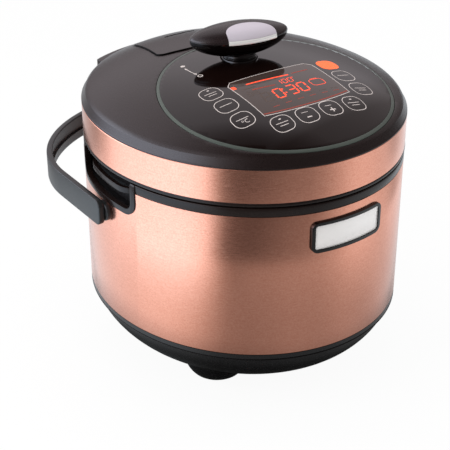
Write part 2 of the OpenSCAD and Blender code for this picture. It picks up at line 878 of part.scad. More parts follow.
// Arm of the bail with its rounded end, up to the start of the bow
module bail_arm(side) {
    stud_room = bail_t - stud_end;
    y_end = pivot_y - bail_tip;
    color("#232425")
        mirror([side > 0 ? 0 : 1, 0, 0])
            difference() {
                intersection() {
                    translate([0, 0, pivot_z - bail_h])
                        linear_extrude(2 * bail_h)
                            polygon([[arm_in, y_end - 1], [arm_out, y_end - 1],
                                bow_outer(0), bow_outer(1), bow_inner(1), bow_inner(0)]);
                    translate([0, y_end + bail_reach / 2, pivot_z])
                        rotate([90, 0, 90])
                            linear_extrude(arm_out + 1)
                                polygon(round_rect(bail_reach, bail_h, bail_corner));
                }
                translate([arm_in - 1, pivot_y, pivot_z])
                    rotate([0, 90, 0]) cylinder(r = stud_r + run, h = stud_room + 1, $fn = 48);
            }
}

// ---- lid ----

// Room for the hinge arm through the rear of the lid's walls
module arm_notch() {
    translate([-arm_x - gap, arm_start - 1, hinge_z - knuckle_r - 1])
        cube([2 * (arm_x + gap), 50, frame_z - hinge_z + knuckle_r + 2]);
}

module valve_holes(z, h) {
    translate([valve_x, valve_y, z]) cylinder(r = valve_r, h = h, $fn = 48);
    translate([-valve_x, valve_y, z]) cylinder(r = float_r + gap + float_wall, h = h, $fn = 48);
}

module lid_liner() {
    leg = 7;
    color("#2f2627")
        difference() {
            union() {
                oval_wall(lip_z, lip_h, 0, collar_t);
                oval_wall(band_z, leg, sheet_t, collar_t - sheet_t);
                oval_deck(lip_z, lip_h, collar_t - 0.5, well_r + 0.5);
                on_axis() tube(well_r + well_t, well_r, lip_z, liner_top - lip_z);
                on_axis() tube(well_r + 0.5, shaft_r + 2, liner_top - liner_t, liner_t);
            }
            arm_notch();
            on_axis() valve_holes(liner_top - liner_t - 1, liner_t + 2);
        }
}

module lid_band() {
    color("#cf937a")
        difference() {
            oval_wall(band_z, band_h, 0, sheet_t);
            arm_notch();
        }
}

// Thin layer under the lid's outer surface, from its rim to the knob's neck
module lid_layer(t, up = 0) {
    n = 9;
    bevel = [[a, b, cover_z], [a, b, cover_z + rim_h]];
    dome = [for (k = [0 : n]) let (q = 1 - k / n)
        [core_r + (dome_ax - core_r) * q, core_r + (dome_ay - core_r) * q,
         dome_at(core_r + (dome_ax - core_r) * q, 0) + up]];
    edge_in = t * 0.4;
    under = [for (k = [n : -1 : 0]) let (tuck = k == 0 ? edge_in : 0)
        [dome[k][0] - tuck, dome[k][1] - tuck, dome[k][2] - t]];
    foot = [[a - t, b - t, cover_z + rim_h - 1], [a - t, b - t, cover_z]];
    oval_sweep(concat(bevel, dome, under, foot));
}

module panel_prism(inset) {
    translate([0, -panel_y, cover_z - 20])
        linear_extrude(80) polygon(oval(panel_rx - inset, panel_ry - inset));
}

module steam_prism(inset) {
    n = 5;
    bow = 6.4;
    corner = 4;
    front = 0.92;
    y0 = steam_y + inset;
    y1 = steam_y + steam_d - inset;
    x0 = steam_x - inset;
    x1 = steam_x * steam_taper - inset;
    translate([0, 0, frame_z])
        linear_extrude(100)
            polygon(concat([for (k = [-n : n]) [x0 * front * k / n, y0 + bow * pow(front * k / n, 2)]],
                [[x0, y0 + bow + corner], [x1, y1 - corner], [x1 - corner, y1], [corner - x1, y1],
                [-x1, y1 - corner], [-x0, y0 + bow + corner]]));
}

module lid_cover() {
    color("#3a2f2f")
        difference() {
            lid_layer(cover_t);
            panel_prism(-gap);
            steam_prism(-gap);
        }
}

module panel_ring() {
    color("#8b8f8c")
        difference() {
            intersection() {
                lid_layer(cover_t);
                panel_prism(0);
            }
            panel_prism(ring_w);
        }
}

module control_panel() {
    color("#241a19")
        difference() {
            intersection() {
                lid_layer(cover_t);
                panel_prism(ring_w + 0.2);
            }
            on_axis() translate([0, 0, cover_z]) cylinder(r = neck_hole_r, h = dome_top, $fn = 96);
        }
}

module steam_cover() {
    slot_w = 32;
    color("#3a2f2f")
        difference() {
            intersection() {
                lid_layer(cover_t + steam_up, steam_up);
                steam_prism(gap);
            }
            translate([-slot_w / 2, steam_y + steam_d - 20, frame_z]) cube([slot_w, 3, 100]);
        }
}

module lid_frame() {
    color("#a4a5a9")
        difference() {
            translate([0, 0, frame_z])
                union() {
                    on_axis() cylinder(r = well_r, h = frame_t, $fn = 96);
                    translate([-tongue_x, tongue_y, 0])
                        cube([2 * tongue_x, b - tongue_gap - tongue_y, frame_t]);
                }
            on_axis() {
                translate([0, 0, frame_z - 1]) cylinder(r = shaft_r + run, h = frame_t + 2, $fn = 64);
                valve_holes(frame_z - 1, frame_t + 2);
            }
        }
}

module panel_tilt() {
    translate([0, -lcd_y, dome_at(0, lcd_y) - cover_t - lcd_drop]) rotate([lcd_tilt, 0, 0]) children();
}

module display_module() {
    color("#301512")
        panel_tilt() translate([-lcd_w / 2, -lcd_d / 2, -lcd_t]) cube([lcd_w, lcd_d, lcd_t]);
}

module touch_board() {
    color("#2f6b3c")
        panel_tilt()
            translate([-touch_w / 2, -touch_d / 2 - touch_y, -lcd_t - touch_t])
                cube([touch_w, touch_d, touch_t]);
}

// Pillars on the lid frame, cut to the slope of the touch board
module board_pillars() {
    h = dome_top - frame_z;
    color("#222021")
        difference() {
            for (x = [-1, 1])
                for (y = [-1, 1])
                    translate([x * (touch_w / 2 - pillar_in), y * (touch_d / 2 - pillar_in) - lcd_y,
                        frame_z + frame_t])
                        cylinder(r = 4, h = h, $fn = 32);
            panel_tilt()
                translate([-touch_w, -touch_d * 1.5, -lcd_t - touch_t])
                    cube([2 * touch_w, 3 * touch_d, 2 * dome_h + 100]);
        }
}

module steam_well() {
    t = 2;
    h = dome_at(steam_x, steam_y + steam_d) - cover_t - gap - steam_floor_z;
    color("#161516") {
        difference() {
            intersection() {
                steam_prism(1);
                translate([-a, 0, steam_floor_z]) cube([2 * a, b, h]);
            }
            intersection() {
                steam_prism(1 + t);
                translate([-a, 0, steam_floor_z + t]) cube([2 * a, b, h]);
            }
            on_axis() valve_holes(steam_floor_z - 1, t + 2);
        }
        for (x = [-1, 1])
            translate([x * (steam_x - 14), steam_y + 40, frame_z + frame_t])
                cylinder(r = 3.5, h = steam_floor_z - frame_z - frame_t, $fn = 32);
    }
}

inner_lid_z = rim_z - 2.5;
inner_lid_r = pot_r - pot_t - 2.2;
inner_lid_t = 2;
seal_z = rim_z + gap;
seal_top = seal_z + seal_t;
seal_lip = 1.7;

module valve_tube() {
    top = steam_floor_z + 6;
    color("#8e8f93") on_axis()
        translate([valve_x, valve_y, 0])
            tube(valve_r, valve_bore, inner_lid_z + inner_lid_t, top - inner_lid_z - inner_lid_t);
}

module valve_weight() {
    z = steam_floor_z + 6 + gap;
    color("#6c6d70") on_axis()
        translate([valve_x, valve_y, z]) {
            cylinder(r = 9, h = weight_h, $fn = 48);
            translate([0, 0, weight_h]) cylinder(r1 = 9, r2 = 6, h = 2.5, $fn = 48);
            translate([0, 0, -3 - gap]) cylinder(r = valve_bore - gap, h = 3 + gap + 1, $fn = 32);
        }
}

module float_tube() {
    top = steam_floor_z + 5;
    color("#8e8f93") on_axis()
        translate([-valve_x, valve_y, 0])
            tube(float_r + gap + float_wall, float_r + gap, inner_lid_z + inner_lid_t,
                top - inner_lid_z - inner_lid_t);
}

float_travel = 3;

module float_pin() {
    top = steam_floor_z + 7;
    low = inner_lid_z - gap - float_travel;
    color("#c03a2a") on_axis()
        translate([-valve_x, valve_y, 0])
            union() {
                translate([0, 0, low]) cylinder(r = float_r, h = top - low, $fn = 48);
                translate([0, 0, low - 2]) cylinder(r = float_r + 3, h = 2, $fn = 48);
            }
}

module inner_lid() {
    z = inner_lid_z;
    color("#c2c3c6") on_axis()
        difference() {
            rotate_extrude($fn = 96)
                polygon([[0, z], [inner_lid_r, z], [inner_lid_r, seal_z + seal_lip],
                    [inner_lid_r + 4, seal_z + seal_lip], [inner_lid_r + 4, seal_top],
                    [inner_lid_r - 2, seal_top], [inner_lid_r - 2, z + inner_lid_t],
                    [0, z + inner_lid_t]]);
            translate([0, 0, z - 1]) cylinder(r = 4, h = 5, $fn = 48);
            translate([valve_x, valve_y, z - 1]) cylinder(r = valve_bore, h = 5, $fn = 32);
            translate([-valve_x, valve_y, z - 1]) cylinder(r = float_r + gap, h = 5, $fn = 48);
        }
}

module inner_lid_stud() {
    color("#55565a") on_axis() {
        translate([0, 0, inner_lid_z]) cylinder(r = 4, h = lock_z + 12 - inner_lid_z, $fn = 48);
        translate([0, 0, inner_lid_z - 4]) cylinder(r = 11, h = 4, $fn = 48);
    }
}

module seal_ring() {
    r = inner_lid_r;
    out = pot_rim_r - 0.5;
    color("#d9d4cc") on_axis()
        rotate_extrude($fn = 96)
            polygon([[r, seal_z], [out, seal_z], [out, seal_top], [r + 4, seal_top],
                [r + 4, seal_z + seal_lip], [r, seal_z + seal_lip]]);
}

module filter_cap() {
    r = 9;
    h = 6;
    color("#b9babd") on_axis()
        translate([valve_x, valve_y, inner_lid_z - h])
            difference() {
                cylinder(r = r, h = h, $fn = 48);
                translate([0, 0, 1]) cylinder(r = r - 1, h = h, $fn = 48);
                for (x = [-4 : 4 : 4]) translate([x - 1, -3.5, -1]) cube([2, 7, 3]);
            }
}

// ---- lock and knob ----

module lock_plate() {
    pitch = 360 / lug_n;
    slot_to = 180 - slot_deg + slot_margin;
    slot_from = slot_deg - lock_turn - slot_margin;
    slot_side = valve_r + 1.5;
    color("#a9aaad") on_axis()
        difference() {
            union() {
                translate([0, 0, lock_z]) cylinder(r = lock_disc_r, h = lock_t, $fn = 96);
                for (k = [0 : lug_n - 1])
                    translate([0, 0, lock_z])
                        linear_extrude(lock_t)
                            polygon(arc_band(lock_disc_r - 1, lock_lug_r, pitch * (k + 0.5) - lug_deg / 2,
                                pitch * (k + 0.5) + lug_deg / 2));
                translate([0, 0, lock_z]) cylinder(r = shaft_r + 6, h = 9, $fn = 64);
            }
            translate([0, 0, lock_z - 1]) cylinder(r = shaft_r, h = 12, $fn = 64);
            translate([0, 0, lock_z - 1])
                linear_extrude(lock_t + 2)
                    polygon(arc_band(slot_r - slot_side, slot_r + slot_side, slot_from, slot_to, 24));
        }
}

module lock_shaft() {
    color("#8e8f93") on_axis()
        difference() {
            union() {
                translate([0, 0, lock_z]) cylinder(r = shaft_r, h = knob_z - 2 - lock_z, $fn = 64);
                translate([0, 0, frame_z + frame_t + gap]) cylinder(r = clip_r, h = clip_t, $fn = 64);
            }
            translate([0, 0, lock_z - 1]) cylinder(r = 4 + gap, h = 15, $fn = 48);
        }
}

// Half of the knob's rounded, pointed body
module knob_body(top) {
    n = 12;
    m = 24;
    l = knob_l / 2;
    w = knob_w / 2;
    h = top ? knob_up : -knob_down;
    points = concat([for (j = [0 : n - 1]) let (q = cos(90 * j / n), lift = sin(90 * j / n))
        for (i = [0 : 2 * m - 1]) let (t = 180 * i / m)
            [l * q * cos(t), w * q * sin(t) * pow(abs(sin(t)), 0.18), h * lift]], [[0, 0, h]]);
    walls = [for (j = [0 : n - 2]) for (i = [0 : 2 * m - 1]) let (i2 = (i + 1) % (2 * m))
        [j * 2 * m + i, j * 2 * m + i2, (j + 1) * 2 * m + i2, (j + 1) * 2 * m + i]];
    tip = [for (i = [0 : 2 * m - 1])
        [(n - 1) * 2 * m + i, (n - 1) * 2 * m + (i + 1) % (2 * m), n * 2 * m]];
    base = [[for (i = [2 * m - 1 : -1 : 0]) i]];
    faces = concat(walls, tip, base);
    turned = [for (f = faces) [for (k = [len(f) - 1 : -1 : 0]) f[k]]];
    translate([0, 0, knob_z])
        rotate([0, 0, knob_turn])
            polyhedron(points, top ? turned : faces, convexity = 4);
}

// Room for the knob's inlay, down to the seam between the halves
module inlay_prism(inset) {
    rx = inlay_w / 2 - inset;
    ry = inlay_d - inset;
    translate([0, 0, knob_z - 1])
        rotate([0, 0, knob_turn])
            linear_extrude(knob_up + 2)
                polygon(concat([[inlay_x - rx, -knob_w], [inlay_x + rx, -knob_w]],
                    [for (k = [0 : 12]) [inlay_x + rx * cos(15 * k), inlay_y + ry * sin(15 * k)]]));
}

module knob_lower() {
    color("#141112") on_axis()
        difference() {
            union() {
                knob_body(false);
                translate([0, 0, dome_top - cover_t - 1])
                    cylinder(r = neck_r, h = knob_z - 4 - dome_top + cover_t + 1, $fn = 64);
            }
            translate([0, 0, dome_top - 10])
                cylinder(r = shaft_r, h = knob_z - 2 - dome_top + 10, $fn = 64);
        }
}

module knob_upper() {
    color("#2a2122") on_axis()
        difference() {
            knob_body(true);
            inlay_prism(0);
        }
}

module knob_inlay() {
    color("#d0ccd8") on_axis()
        intersection() {
            knob_body(true);
            inlay_prism(0.05);
        }
}

base_bowl();
bottom_cover();
legs();
feet();
power_board();
board_screws();
board_components();
power_inlet();
inlet_pins();
body_shell();
collar();
pocket(-1);  // pocket_left
pocket(1);  // pocket_right
grip(-1);  // grip_left
grip(1);  // grip_right
badge_frame();
badge_plate();
vessel();
locking_ring();
heat_shield();
inner_pot();
heating_plate();
heating_element();
thermal_fuse();
sensor_bracket();
sensor_spring();
sensor_cap();
hinge_base();
hinge_pin();
bail_boss(-1);  // bail_boss_left
bail_boss(1);  // bail_boss_right
bail();
bail_arm(-1);  // bail_arm_left
bail_arm(1);  // bail_arm_right
lid_liner();
lid_band();
lid_cover();
lid_frame();
hinge_arm();
hinge_cover();
panel_ring();
control_panel();
display_module();
touch_board();
board_pillars();
steam_well();
steam_cover();
valve_tube();
valve_weight();
float_tube();
float_pin();
inner_lid();
inner_lid_stud();
seal_ring();
filter_cap();
lock_plate();
lock_shaft();
knob_lower();
knob_upper();
knob_inlay();
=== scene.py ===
import math

import bmesh
import bpy
from mathutils import Matrix, Vector


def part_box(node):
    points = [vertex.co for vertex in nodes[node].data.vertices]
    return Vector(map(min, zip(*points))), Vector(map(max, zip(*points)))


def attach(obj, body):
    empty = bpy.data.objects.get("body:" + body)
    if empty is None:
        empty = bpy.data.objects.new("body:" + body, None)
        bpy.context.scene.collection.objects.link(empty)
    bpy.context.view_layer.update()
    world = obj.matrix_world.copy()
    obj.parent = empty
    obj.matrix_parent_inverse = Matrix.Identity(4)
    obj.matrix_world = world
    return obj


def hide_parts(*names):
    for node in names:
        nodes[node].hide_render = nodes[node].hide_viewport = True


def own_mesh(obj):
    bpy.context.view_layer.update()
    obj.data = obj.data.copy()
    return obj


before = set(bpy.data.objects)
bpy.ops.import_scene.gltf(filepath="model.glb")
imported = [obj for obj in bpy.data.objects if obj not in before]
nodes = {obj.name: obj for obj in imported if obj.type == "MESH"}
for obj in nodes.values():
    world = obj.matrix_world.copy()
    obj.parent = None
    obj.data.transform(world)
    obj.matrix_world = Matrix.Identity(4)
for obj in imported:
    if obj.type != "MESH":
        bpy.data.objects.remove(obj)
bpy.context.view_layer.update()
scene = bpy.context.scene
mm = 0.001
print("frame loaded,", len(nodes), "nodes")

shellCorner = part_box("body_shell")[1]
halfWidth, halfDepth = shellCorner.x, shellCorner.y      # half axes of the body's oval outline
outlineExtra = halfDepth - halfWidth
sideX, sideY = halfWidth / mm, halfDepth / mm            # the same in millimetres
shaftLow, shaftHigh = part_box("lock_shaft")
axisY = (shaftLow.y + shaftHigh.y) / 2 / mm              # the pot's and the knob's axis


def heights(node):
    # a CAD node's lowest and highest point, in millimetres
    low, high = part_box(node)
    return low.z / mm, high.z / mm


lowZ, topZ = heights("body_shell")
coverFoot, coverTop = heights("lid_cover")
collarTop = heights("collar")[1]


# camera

camera = {"place": (-0.5630, -0.7914, 0.6459), "lens": 98.34, "sensor": 36,
          "right": (0.8236, -0.5671, 0.0), "up": (0.2749, 0.3992, 0.8746), "back": (-0.4960, -0.7204, 0.4847)}

camData = bpy.data.cameras.new("camera")
camData.lens = camera["lens"]
camData.sensor_width = camera["sensor"]
camData.clip_start = 0.05
cam = bpy.data.objects.new("camera", camData)
scene.collection.objects.link(cam)
turn = Matrix((camera["right"], camera["up"], camera["back"])).transposed()
cam.matrix_world = Matrix.Translation(camera["place"]) @ turn.to_4x4()
bpy.context.scene.camera = cam


# tools for materials

def linear(hexCode):
    # sRGB hex to linear light
    out = []
    for i in (1, 3, 5):
        c = int(hexCode[i:i + 2], 16) / 255
        out.append(c / 12.92 if c <= 0.04045 else ((c + 0.055) / 1.055) ** 2.4)
    return (out[0], out[1], out[2], 1)


def add(mat, kind, links=None, values=None, stops=(), **settings):
    # one node with its settings, socket values, incoming links and, on a ramp, its colour stops
    n = mat.node_tree.nodes.new("ShaderNode" + kind)
    for key, value in settings.items():
        setattr(n, key, value)
    for key, value in (values or {}).items():
        n.inputs[key].default_value = value
    for key, source in (links or {}).items():
        mat.node_tree.links.new(source, n.inputs[key])
    if stops:
        marks = n.color_ramp.elements
        while len(marks) < len(stops):
            marks.new(0.5)
        for mark, (at, colour) in zip(marks, stops):
            mark.position = at
            mark.color = colour
    return n


def start(name, **sockets):
    # a new material with its Principled shader
    mat = bpy.data.materials.new(name)
    mat.use_nodes = True
    shader = mat.node_tree.nodes["Principled BSDF"]
    for key, value in sockets.items():
        shader.inputs[key.replace("_", " ")].default_value = value
    return mat, shader


def surface(mat, shader, tone, shades, fine, rough, lift, edge=0.3):
    # tone mixes the two shades; fine varies the roughness and the height; lift is the bump's strength and depth
    stops = [(edge, linear(shades[0])), (1 - edge, linear(shades[1]))]
    colour = add(mat, "ValToRGB", {"Fac": tone}, stops=stops).outputs["Color"]
    gloss = add(mat, "MapRange", {"Value": fine}, {"From Min": 0.3, "From Max": 0.7, "To Min": rough[0],
                                                   "To Max": rough[1]}).outputs["Result"]
    bump = add(mat, "Bump", {"Height": fine}, {"Strength": lift[0], "Distance": lift[1] * mm}).outputs["Normal"]
    for socket, source in (("Base Color", colour), ("Roughness", gloss), ("Normal", bump)):
        mat.node_tree.links.new(source, shader.inputs[socket])
    return mat


def plain(name, dark, light, roughLow, roughHigh, grainMm, bumpMm, **sockets):
    # moulded or coated surface: slow drift of tone, fine grain in roughness and height
    mat, shader = start(name, **sockets)
    place = add(mat, "TexCoord").outputs["Object"]
    drift = add(mat, "TexNoise", {"Vector": place}, {"Scale": 14, "Detail": 3}).outputs["Fac"]
    fine = add(mat, "TexNoise", {"Vector": place}, {"Scale": 1 / (grainMm * mm), "Detail": 2}).outputs["Fac"]
    return surface(mat, shader, drift, (dark, light), fine, (roughLow, roughHigh), (0.5, bumpMm))


def brushed(name, dark, light, rough, lineMm, lineLong, bumpMm, **sockets):
    # brushed metal: lines lineMm high and lineLong times as long round the piece, drawn coarser than the real
    # ones so that they show
    mat, shader = start(name, Metallic=1, **sockets)
    place = add(mat, "TexCoord").outputs["Object"]
    along = add(mat, "Mapping", {"Vector": place}, {"Scale": (1 / lineLong, 1 / lineLong, 1)}).outputs["Vector"]
    lines = add(mat, "TexNoise", {"Vector": along}, {"Scale": 1 / (lineMm * mm), "Detail": 3}).outputs["Fac"]
    grain = add(mat, "TexNoise", {"Vector": place}, {"Scale": 0.7 / mm, "Detail": 1}).outputs["Fac"]
    both = add(mat, "Math", {0: lines, 1: grain}, operation="ADD").outputs[0]
    half = add(mat, "Math", {0: both}, {1: 0.5}, operation="MULTIPLY").outputs[0]
    return surface(mat, shader, half, (dark, light), lines, (rough - 0.04, rough + 0.04), (0.4, bumpMm), 0.36)


def turned(name, dark, light, rough, pitchMm, bumpMm, **sockets):
    # metal turned or spun on the upright axis: fine rings, drawn coarse enough to show
    mat, shader = start(name, Metallic=1, **sockets)
    place = add(mat, "TexCoord").outputs["Object"]
    rings = add(mat, "TexWave", {"Vector": place},
                {"Scale": 0.05 / (pitchMm * mm), "Distortion": 0.6, "Detail": 2, "Detail Scale": 1.5},
                wave_type="RINGS", rings_direction="Z").outputs["Fac"]
    drift = add(mat, "TexNoise", {"Vector": place}, {"Scale": 20, "Detail": 3}).outputs["Fac"]
    return surface(mat, shader, drift, (dark, light), rings, (rough - 0.06, rough + 0.06), (0.3, bumpMm))


def glowing(name, colour, strength):
    # printed or lit mark: a plain colour that also gives light, a painted glow on printed ink and unlit
    # segments
    mat, shader = start(name, Roughness=0.5, Emission_Strength=strength)
    place = add(mat, "TexCoord").outputs["Object"]
    grain = add(mat, "TexNoise", {"Vector": place}, {"Scale": 900, "Detail": 1}).outputs["Fac"]
    worn = [c * 0.86 for c in linear(colour)[:3]] + [1]
    mixed = add(mat, "ValToRGB", {"Fac": grain}, stops=[(0.35, worn), (0.65, linear(colour))]).outputs["Color"]
    for socket in ("Base Color", "Emission Color"):
        mat.node_tree.links.new(mixed, shader.inputs[socket])
    return mat


# materials

# Copper-coloured stainless sheet, brushed and lacquered: streaked, with clear bright and dark bands
copper = brushed("brushedCopperSheet", "#EA9E84", "#F8B096", 0.2, 0.5, 14, 0.002,
                 Coat_Weight=0.3, Coat_Roughness=0.3)
# Glossy moulded ABS, dark brown: soft-edged bright reflections on the collar, rims and grips
brownAbs = plain("brownGlossAbs", "#170F0D", "#1D1412", 0.2, 0.28, 0.9, 0.004, Specular_IOR_Level=0.3)
# Satin moulded ABS with a warm brown tone: a broad, slightly hazy sheen over the lid's cover
lidAbs = plain("lidSatinAbs", "#170C0B", "#1D1211", 0.26, 0.34, 0.8, 0.004)
# Black moulded polypropylene: a soft gloss down the bowl of the base
blackBase = plain("blackBasePlastic", "#0C0B0C", "#111011", 0.24, 0.34, 1.2, 0.003)
# Fine-textured black plastic in the pockets and wells, darker as painted shade: stays dark, with hardly a
# reflection
blackDullPaintedShade = plain("blackPlasticPaintedShade", "#070505", "#0A0808", 0.5, 0.62, 0.6, 0.02, Specular_IOR_Level=0.2)
# Glass-filled nylon with a fine satin texture: the bail greys a little where light grazes it
bailNylon = plain("bailSatinNylon", "#1E1F20", "#262728", 0.34, 0.44, 0.5, 0.012)
# Moulded rubber of the pads: dull black
footRubber = plain("footRubber", "#0E0D0E", "#141314", 0.5, 0.62, 0.7, 0.01)
# Tinted acrylic sheet, very dark brown: sharp mirror reflections over the control panel
panelAcrylic = plain("panelTintedAcrylic", "#0F0605", "#130A08", 0.05, 0.07, 3, 0.001)
# Liquid-crystal window behind the acrylic: the same gloss, slightly greyer
displayWindow = plain("displayWindow", "#3B2F2C", "#41342F", 0.06, 0.08, 3, 0.001)
# Anodised aluminium trim: a grey-green satin line round the panel
trimRing = plain("anodisedTrim", "#4E5650", "#5C645E", 0.3, 0.38, 0.6, 0.006, Metallic=0.5)
# Silvered plate of the badge, bare: evenly bright, its reflection of the bright studio painted into a pale
# colour
badgePaintedReflection = plain("badgePlatePaintedReflection", "#EFECEA", "#F6F3F2", 0.16, 0.22, 4, 0.001, Metallic=0.2)
# Satin nickel inlay of the knob, pale with soft reflections, and its polished lip, a thin bright line:
# the sheen and the bright line are painted into pale colours, with little metal
inlayPaintedSheen = plain("nickelInlayPaintedSheen", "#C2BAC4", "#CAC2CC", 0.3, 0.36, 0.5, 0.003, Metallic=0.2)
lipPaintedHighlight = plain("polishedLipPaintedHighlight", "#F2F1EE", "#F8F7F5", 0.1, 0.14, 3, 0.001, Metallic=0.25)
# Moulded ABS of the knob: a satin brown upper half with a wide highlight, a piano-black lower half
knobBrown = plain("knobSatinAbs", "#1D1415", "#231A1A", 0.22, 0.3, 0.8, 0.003)
knobBlack = plain("knobGlossAbs", "#050303", "#080505", 0.08, 0.12, 2, 0.001)
# White ink printed on the panel, slightly worn: clear but not bright, with a faint painted glow
whiteInkPaintedGlow = glowing("whiteInkPaintedGlow", "#CFC4C0", 0.15)
# Lit display segments in glowing orange, their faint neighbours, and the unlit ones, barely there with a
# painted glow
litOrange = glowing("litOrangeSegment", "#FF4A26", 0.9)
dimOrange = glowing("dimOrangeSegment", "#8A3020", 0.25)
unlitSegmentPaintedGlow = glowing("unlitSegmentPaintedGlow", "#4C3C34", 0.1)
# Translucent orange key: lit evenly from behind
orangeKey = glowing("orangeKeyInk", "#FF6A34", 0.5)
# Turned stainless steel: fine rings in a clear sheen
innerSteel = turned("turnedStainless", "#B4B5B8", "#C2C3C6", 0.28, 0.8, 0.01)
# Cast and turned aluminium: coarser rings, greyer and duller
castAluminium = turned("castAluminiumPlate", "#A2A3A6", "#B0B1B4", 0.42, 1.6, 0.03)
# Spun aluminium: bright, with a soft sheen in rings
spunAluminium = turned("spunAluminiumLid", "#BCBDC0", "#CACBCE", 0.3, 0.9, 0.012)
# Rolled aluminium sheet: pale, with long fine lines
rolledShield = brushed("rolledShieldAluminium", "#B8B9BC", "#C6C7CA", 0.4, 0.8, 12, 0.01)
# Pressed steel sheet: mid grey with short streaks
pressedSteel = brushed("pressedSteelSheet", "#96979B", "#A4A5A9", 0.38, 0.8, 6, 0.012)
# Zinc-plated steel: even grey with a mild sparkle
zincSteel = plain("zincPlatedSteel", "#98989C", "#A8A8AC", 0.3, 0.42, 0.5, 0.01, Metallic=1)
# Drawn spring wire: smooth, with a narrow highlight
springSteel = plain("drawnSpringWire", "#8E8F92", "#A2A3A6", 0.28, 0.4, 0.4, 0.005, Metallic=1)
# Steel heater tube oxidised by heat: dull brown-grey
oxidisedTube = plain("oxidisedHeaterTube", "#5F5C5A", "#77736F", 0.45, 0.6, 0.8, 0.02, Metallic=1)
# Turned valve steel: darker grey with fine rings
valveSteel = turned("turnedValveSteel", "#7E7F83", "#8F9094", 0.3, 0.5, 0.01)
# Tinned brass: pale gold and glossy
pinBrass = plain("tinnedBrassPin", "#BFA76C", "#D0BA83", 0.25, 0.35, 0.5, 0.005, Metallic=1)
# Sprayed non-stick coating of the pot: dark, faintly speckled
potCoat = plain("nonStickCoating", "#3C3D40", "#46474B", 0.34, 0.46, 0.5, 0.02, Metallic=0.3)
# Moulded polypropylene of the liner: matt dark brown
liner = plain("linerPolypropylene", "#2A2223", "#302829", 0.4, 0.5, 0.8, 0.02)
# Solder mask on a circuit board: deep green with a soft gloss
board = plain("solderMaskBoard", "#235A31", "#2C6A3A", 0.35, 0.45, 1.5, 0.02)
# Moulded epoxy of the components: matt charcoal
component = plain("componentBody", "#2E2E31", "#3A3A3E", 0.4, 0.55, 0.8, 0.02)
# Fired ceramic of the fuse: chalky off-white
ceramic = plain("fuseCeramic", "#D0CABD", "#DCD7CB", 0.45, 0.6, 0.8, 0.02)
# Moulded red silicone of the float: soft and matt
redSilicone = plain("redFloatSilicone", "#A8301F", "#BA3B28", 0.45, 0.58, 0.8, 0.01, Subsurface_Weight=0.1)
# Clear silicone of the seal: milky, as light goes a little way in
sealSilicone = plain("clearSealSilicone", "#CFCAC0", "#DAD6CD", 0.38, 0.5, 0.8, 0.01, Subsurface_Weight=0.3)
print("materials made")

# CAD nodes that stay as they are, with a better material
carriedOver = (
    (blackBase, "bottom_cover", "power_inlet"),
    # the pockets and the steam well: black plastic, darkened further as painted shade
    (blackDullPaintedShade, "pocket_left", "pocket_right", "steam_well"),
    (board, "power_board", "touch_board"),
    (component, "board_components", "board_pillars"),
    (pinBrass, "inlet_pins"),
    (zincSteel, "board_screws", "hinge_pin"),
    (innerSteel, "vessel", "locking_ring", "sensor_bracket", "filter_cap", "lock_plate"),
    (rolledShield, "heat_shield"),
    (potCoat, "inner_pot"),
    (castAluminium, "heating_plate", "sensor_cap"),
    (oxidisedTube, "heating_element"),
    (ceramic, "thermal_fuse"),
    (springSteel, "sensor_spring"),
    (brownAbs, "hinge_base"),
    (liner, "lid_liner"),
    (pressedSteel, "lid_frame", "hinge_arm", "lock_shaft"),
    (displayWindow, "display_module"),
    (valveSteel, "valve_tube", "valve_weight", "float_tube", "inner_lid_stud"),
    (redSilicone, "float_pin"),
    (spunAluminium, "inner_lid"),
    (sealSilicone, "seal_ring"))

for mat, *names in carriedOver:
    for name in names:
        nodes[name].data.materials.clear()
        nodes[name].data.materials.append(mat)

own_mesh(nodes["sensor_spring"])


# tools for shapes

def made(bm, name):
    # the bmesh as a new object of the scene
    mesh = bpy.data.meshes.new(name)
    bm.to_mesh(mesh)
    bm.free()
    piece = bpy.data.objects.new(name, mesh)
    scene.collection.objects.link(piece)
    return piece


def shade(piece, sharp):
    # smooth, but for edges sharper than the angle
    for p in piece.data.polygons:
        p.use_smooth = True
    piece.data.set_sharp_from_angle(angle=math.radians(sharp))


def settle(piece, name, mat, body, slot, *stands):
    # names a piece, gives it its material, hangs it on the body it rides on and hides the CAD nodes it stands
    # for
    piece.name = name
    piece.data.materials.clear()
    piece.data.materials.append(mat)
    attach(piece, body)
    if stands:
        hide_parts(*stands)
    return piece


def finish(bm, name, mat, body, slot, *stands, sharp=35, recalc=True):
    # turns a bmesh straight into a settled piece
    if recalc:
        bmesh.ops.remove_doubles(bm, verts=bm.verts, dist=0.004 * mm)
        bmesh.ops.recalc_face_normals(bm, faces=bm.faces)
    piece = made(bm, name)
    shade(piece, sharp)
    return settle(piece, name, mat, body, slot, *stands)


def cutter(bm):
    # a closed shape to cut with, or to cut a piece from
    bmesh.ops.recalc_face_normals(bm, faces=bm.faces)
    return made(bm, "cutter")


def apply(piece, sharp=35):
    # bakes the modifiers into the mesh
    dg = bpy.context.evaluated_depsgraph_get()
    mesh = bpy.data.meshes.new_from_object(piece.evaluated_get(dg))
    piece.modifiers.clear()
    old = piece.data
    piece.data = mesh
    bpy.data.meshes.remove(old)
    shade(piece, sharp)


def combine(piece, how, *others):
    # boolean with each of the other shapes, which are then removed
    for other in others:
        m = piece.modifiers.new("boolean", "BOOLEAN")
        m.operation = how
        m.object = other
        m.solver = "EXACT"
    apply(piece)
    for other in others:
        mesh = other.data
        bpy.data.objects.remove(other)
        bpy.data.meshes.remove(mesh)


def soften(piece, width, segments=3, angle=40, sharp=40):
    # rounds the hard edges
    m = piece.modifiers.new("bevel", "BEVEL")
    m.width = width * mm
    m.segments = segments
    m.limit_method = "ANGLE"
    m.angle_limit = math.radians(angle)
    m.harden_normals = False
    apply(piece, sharp)


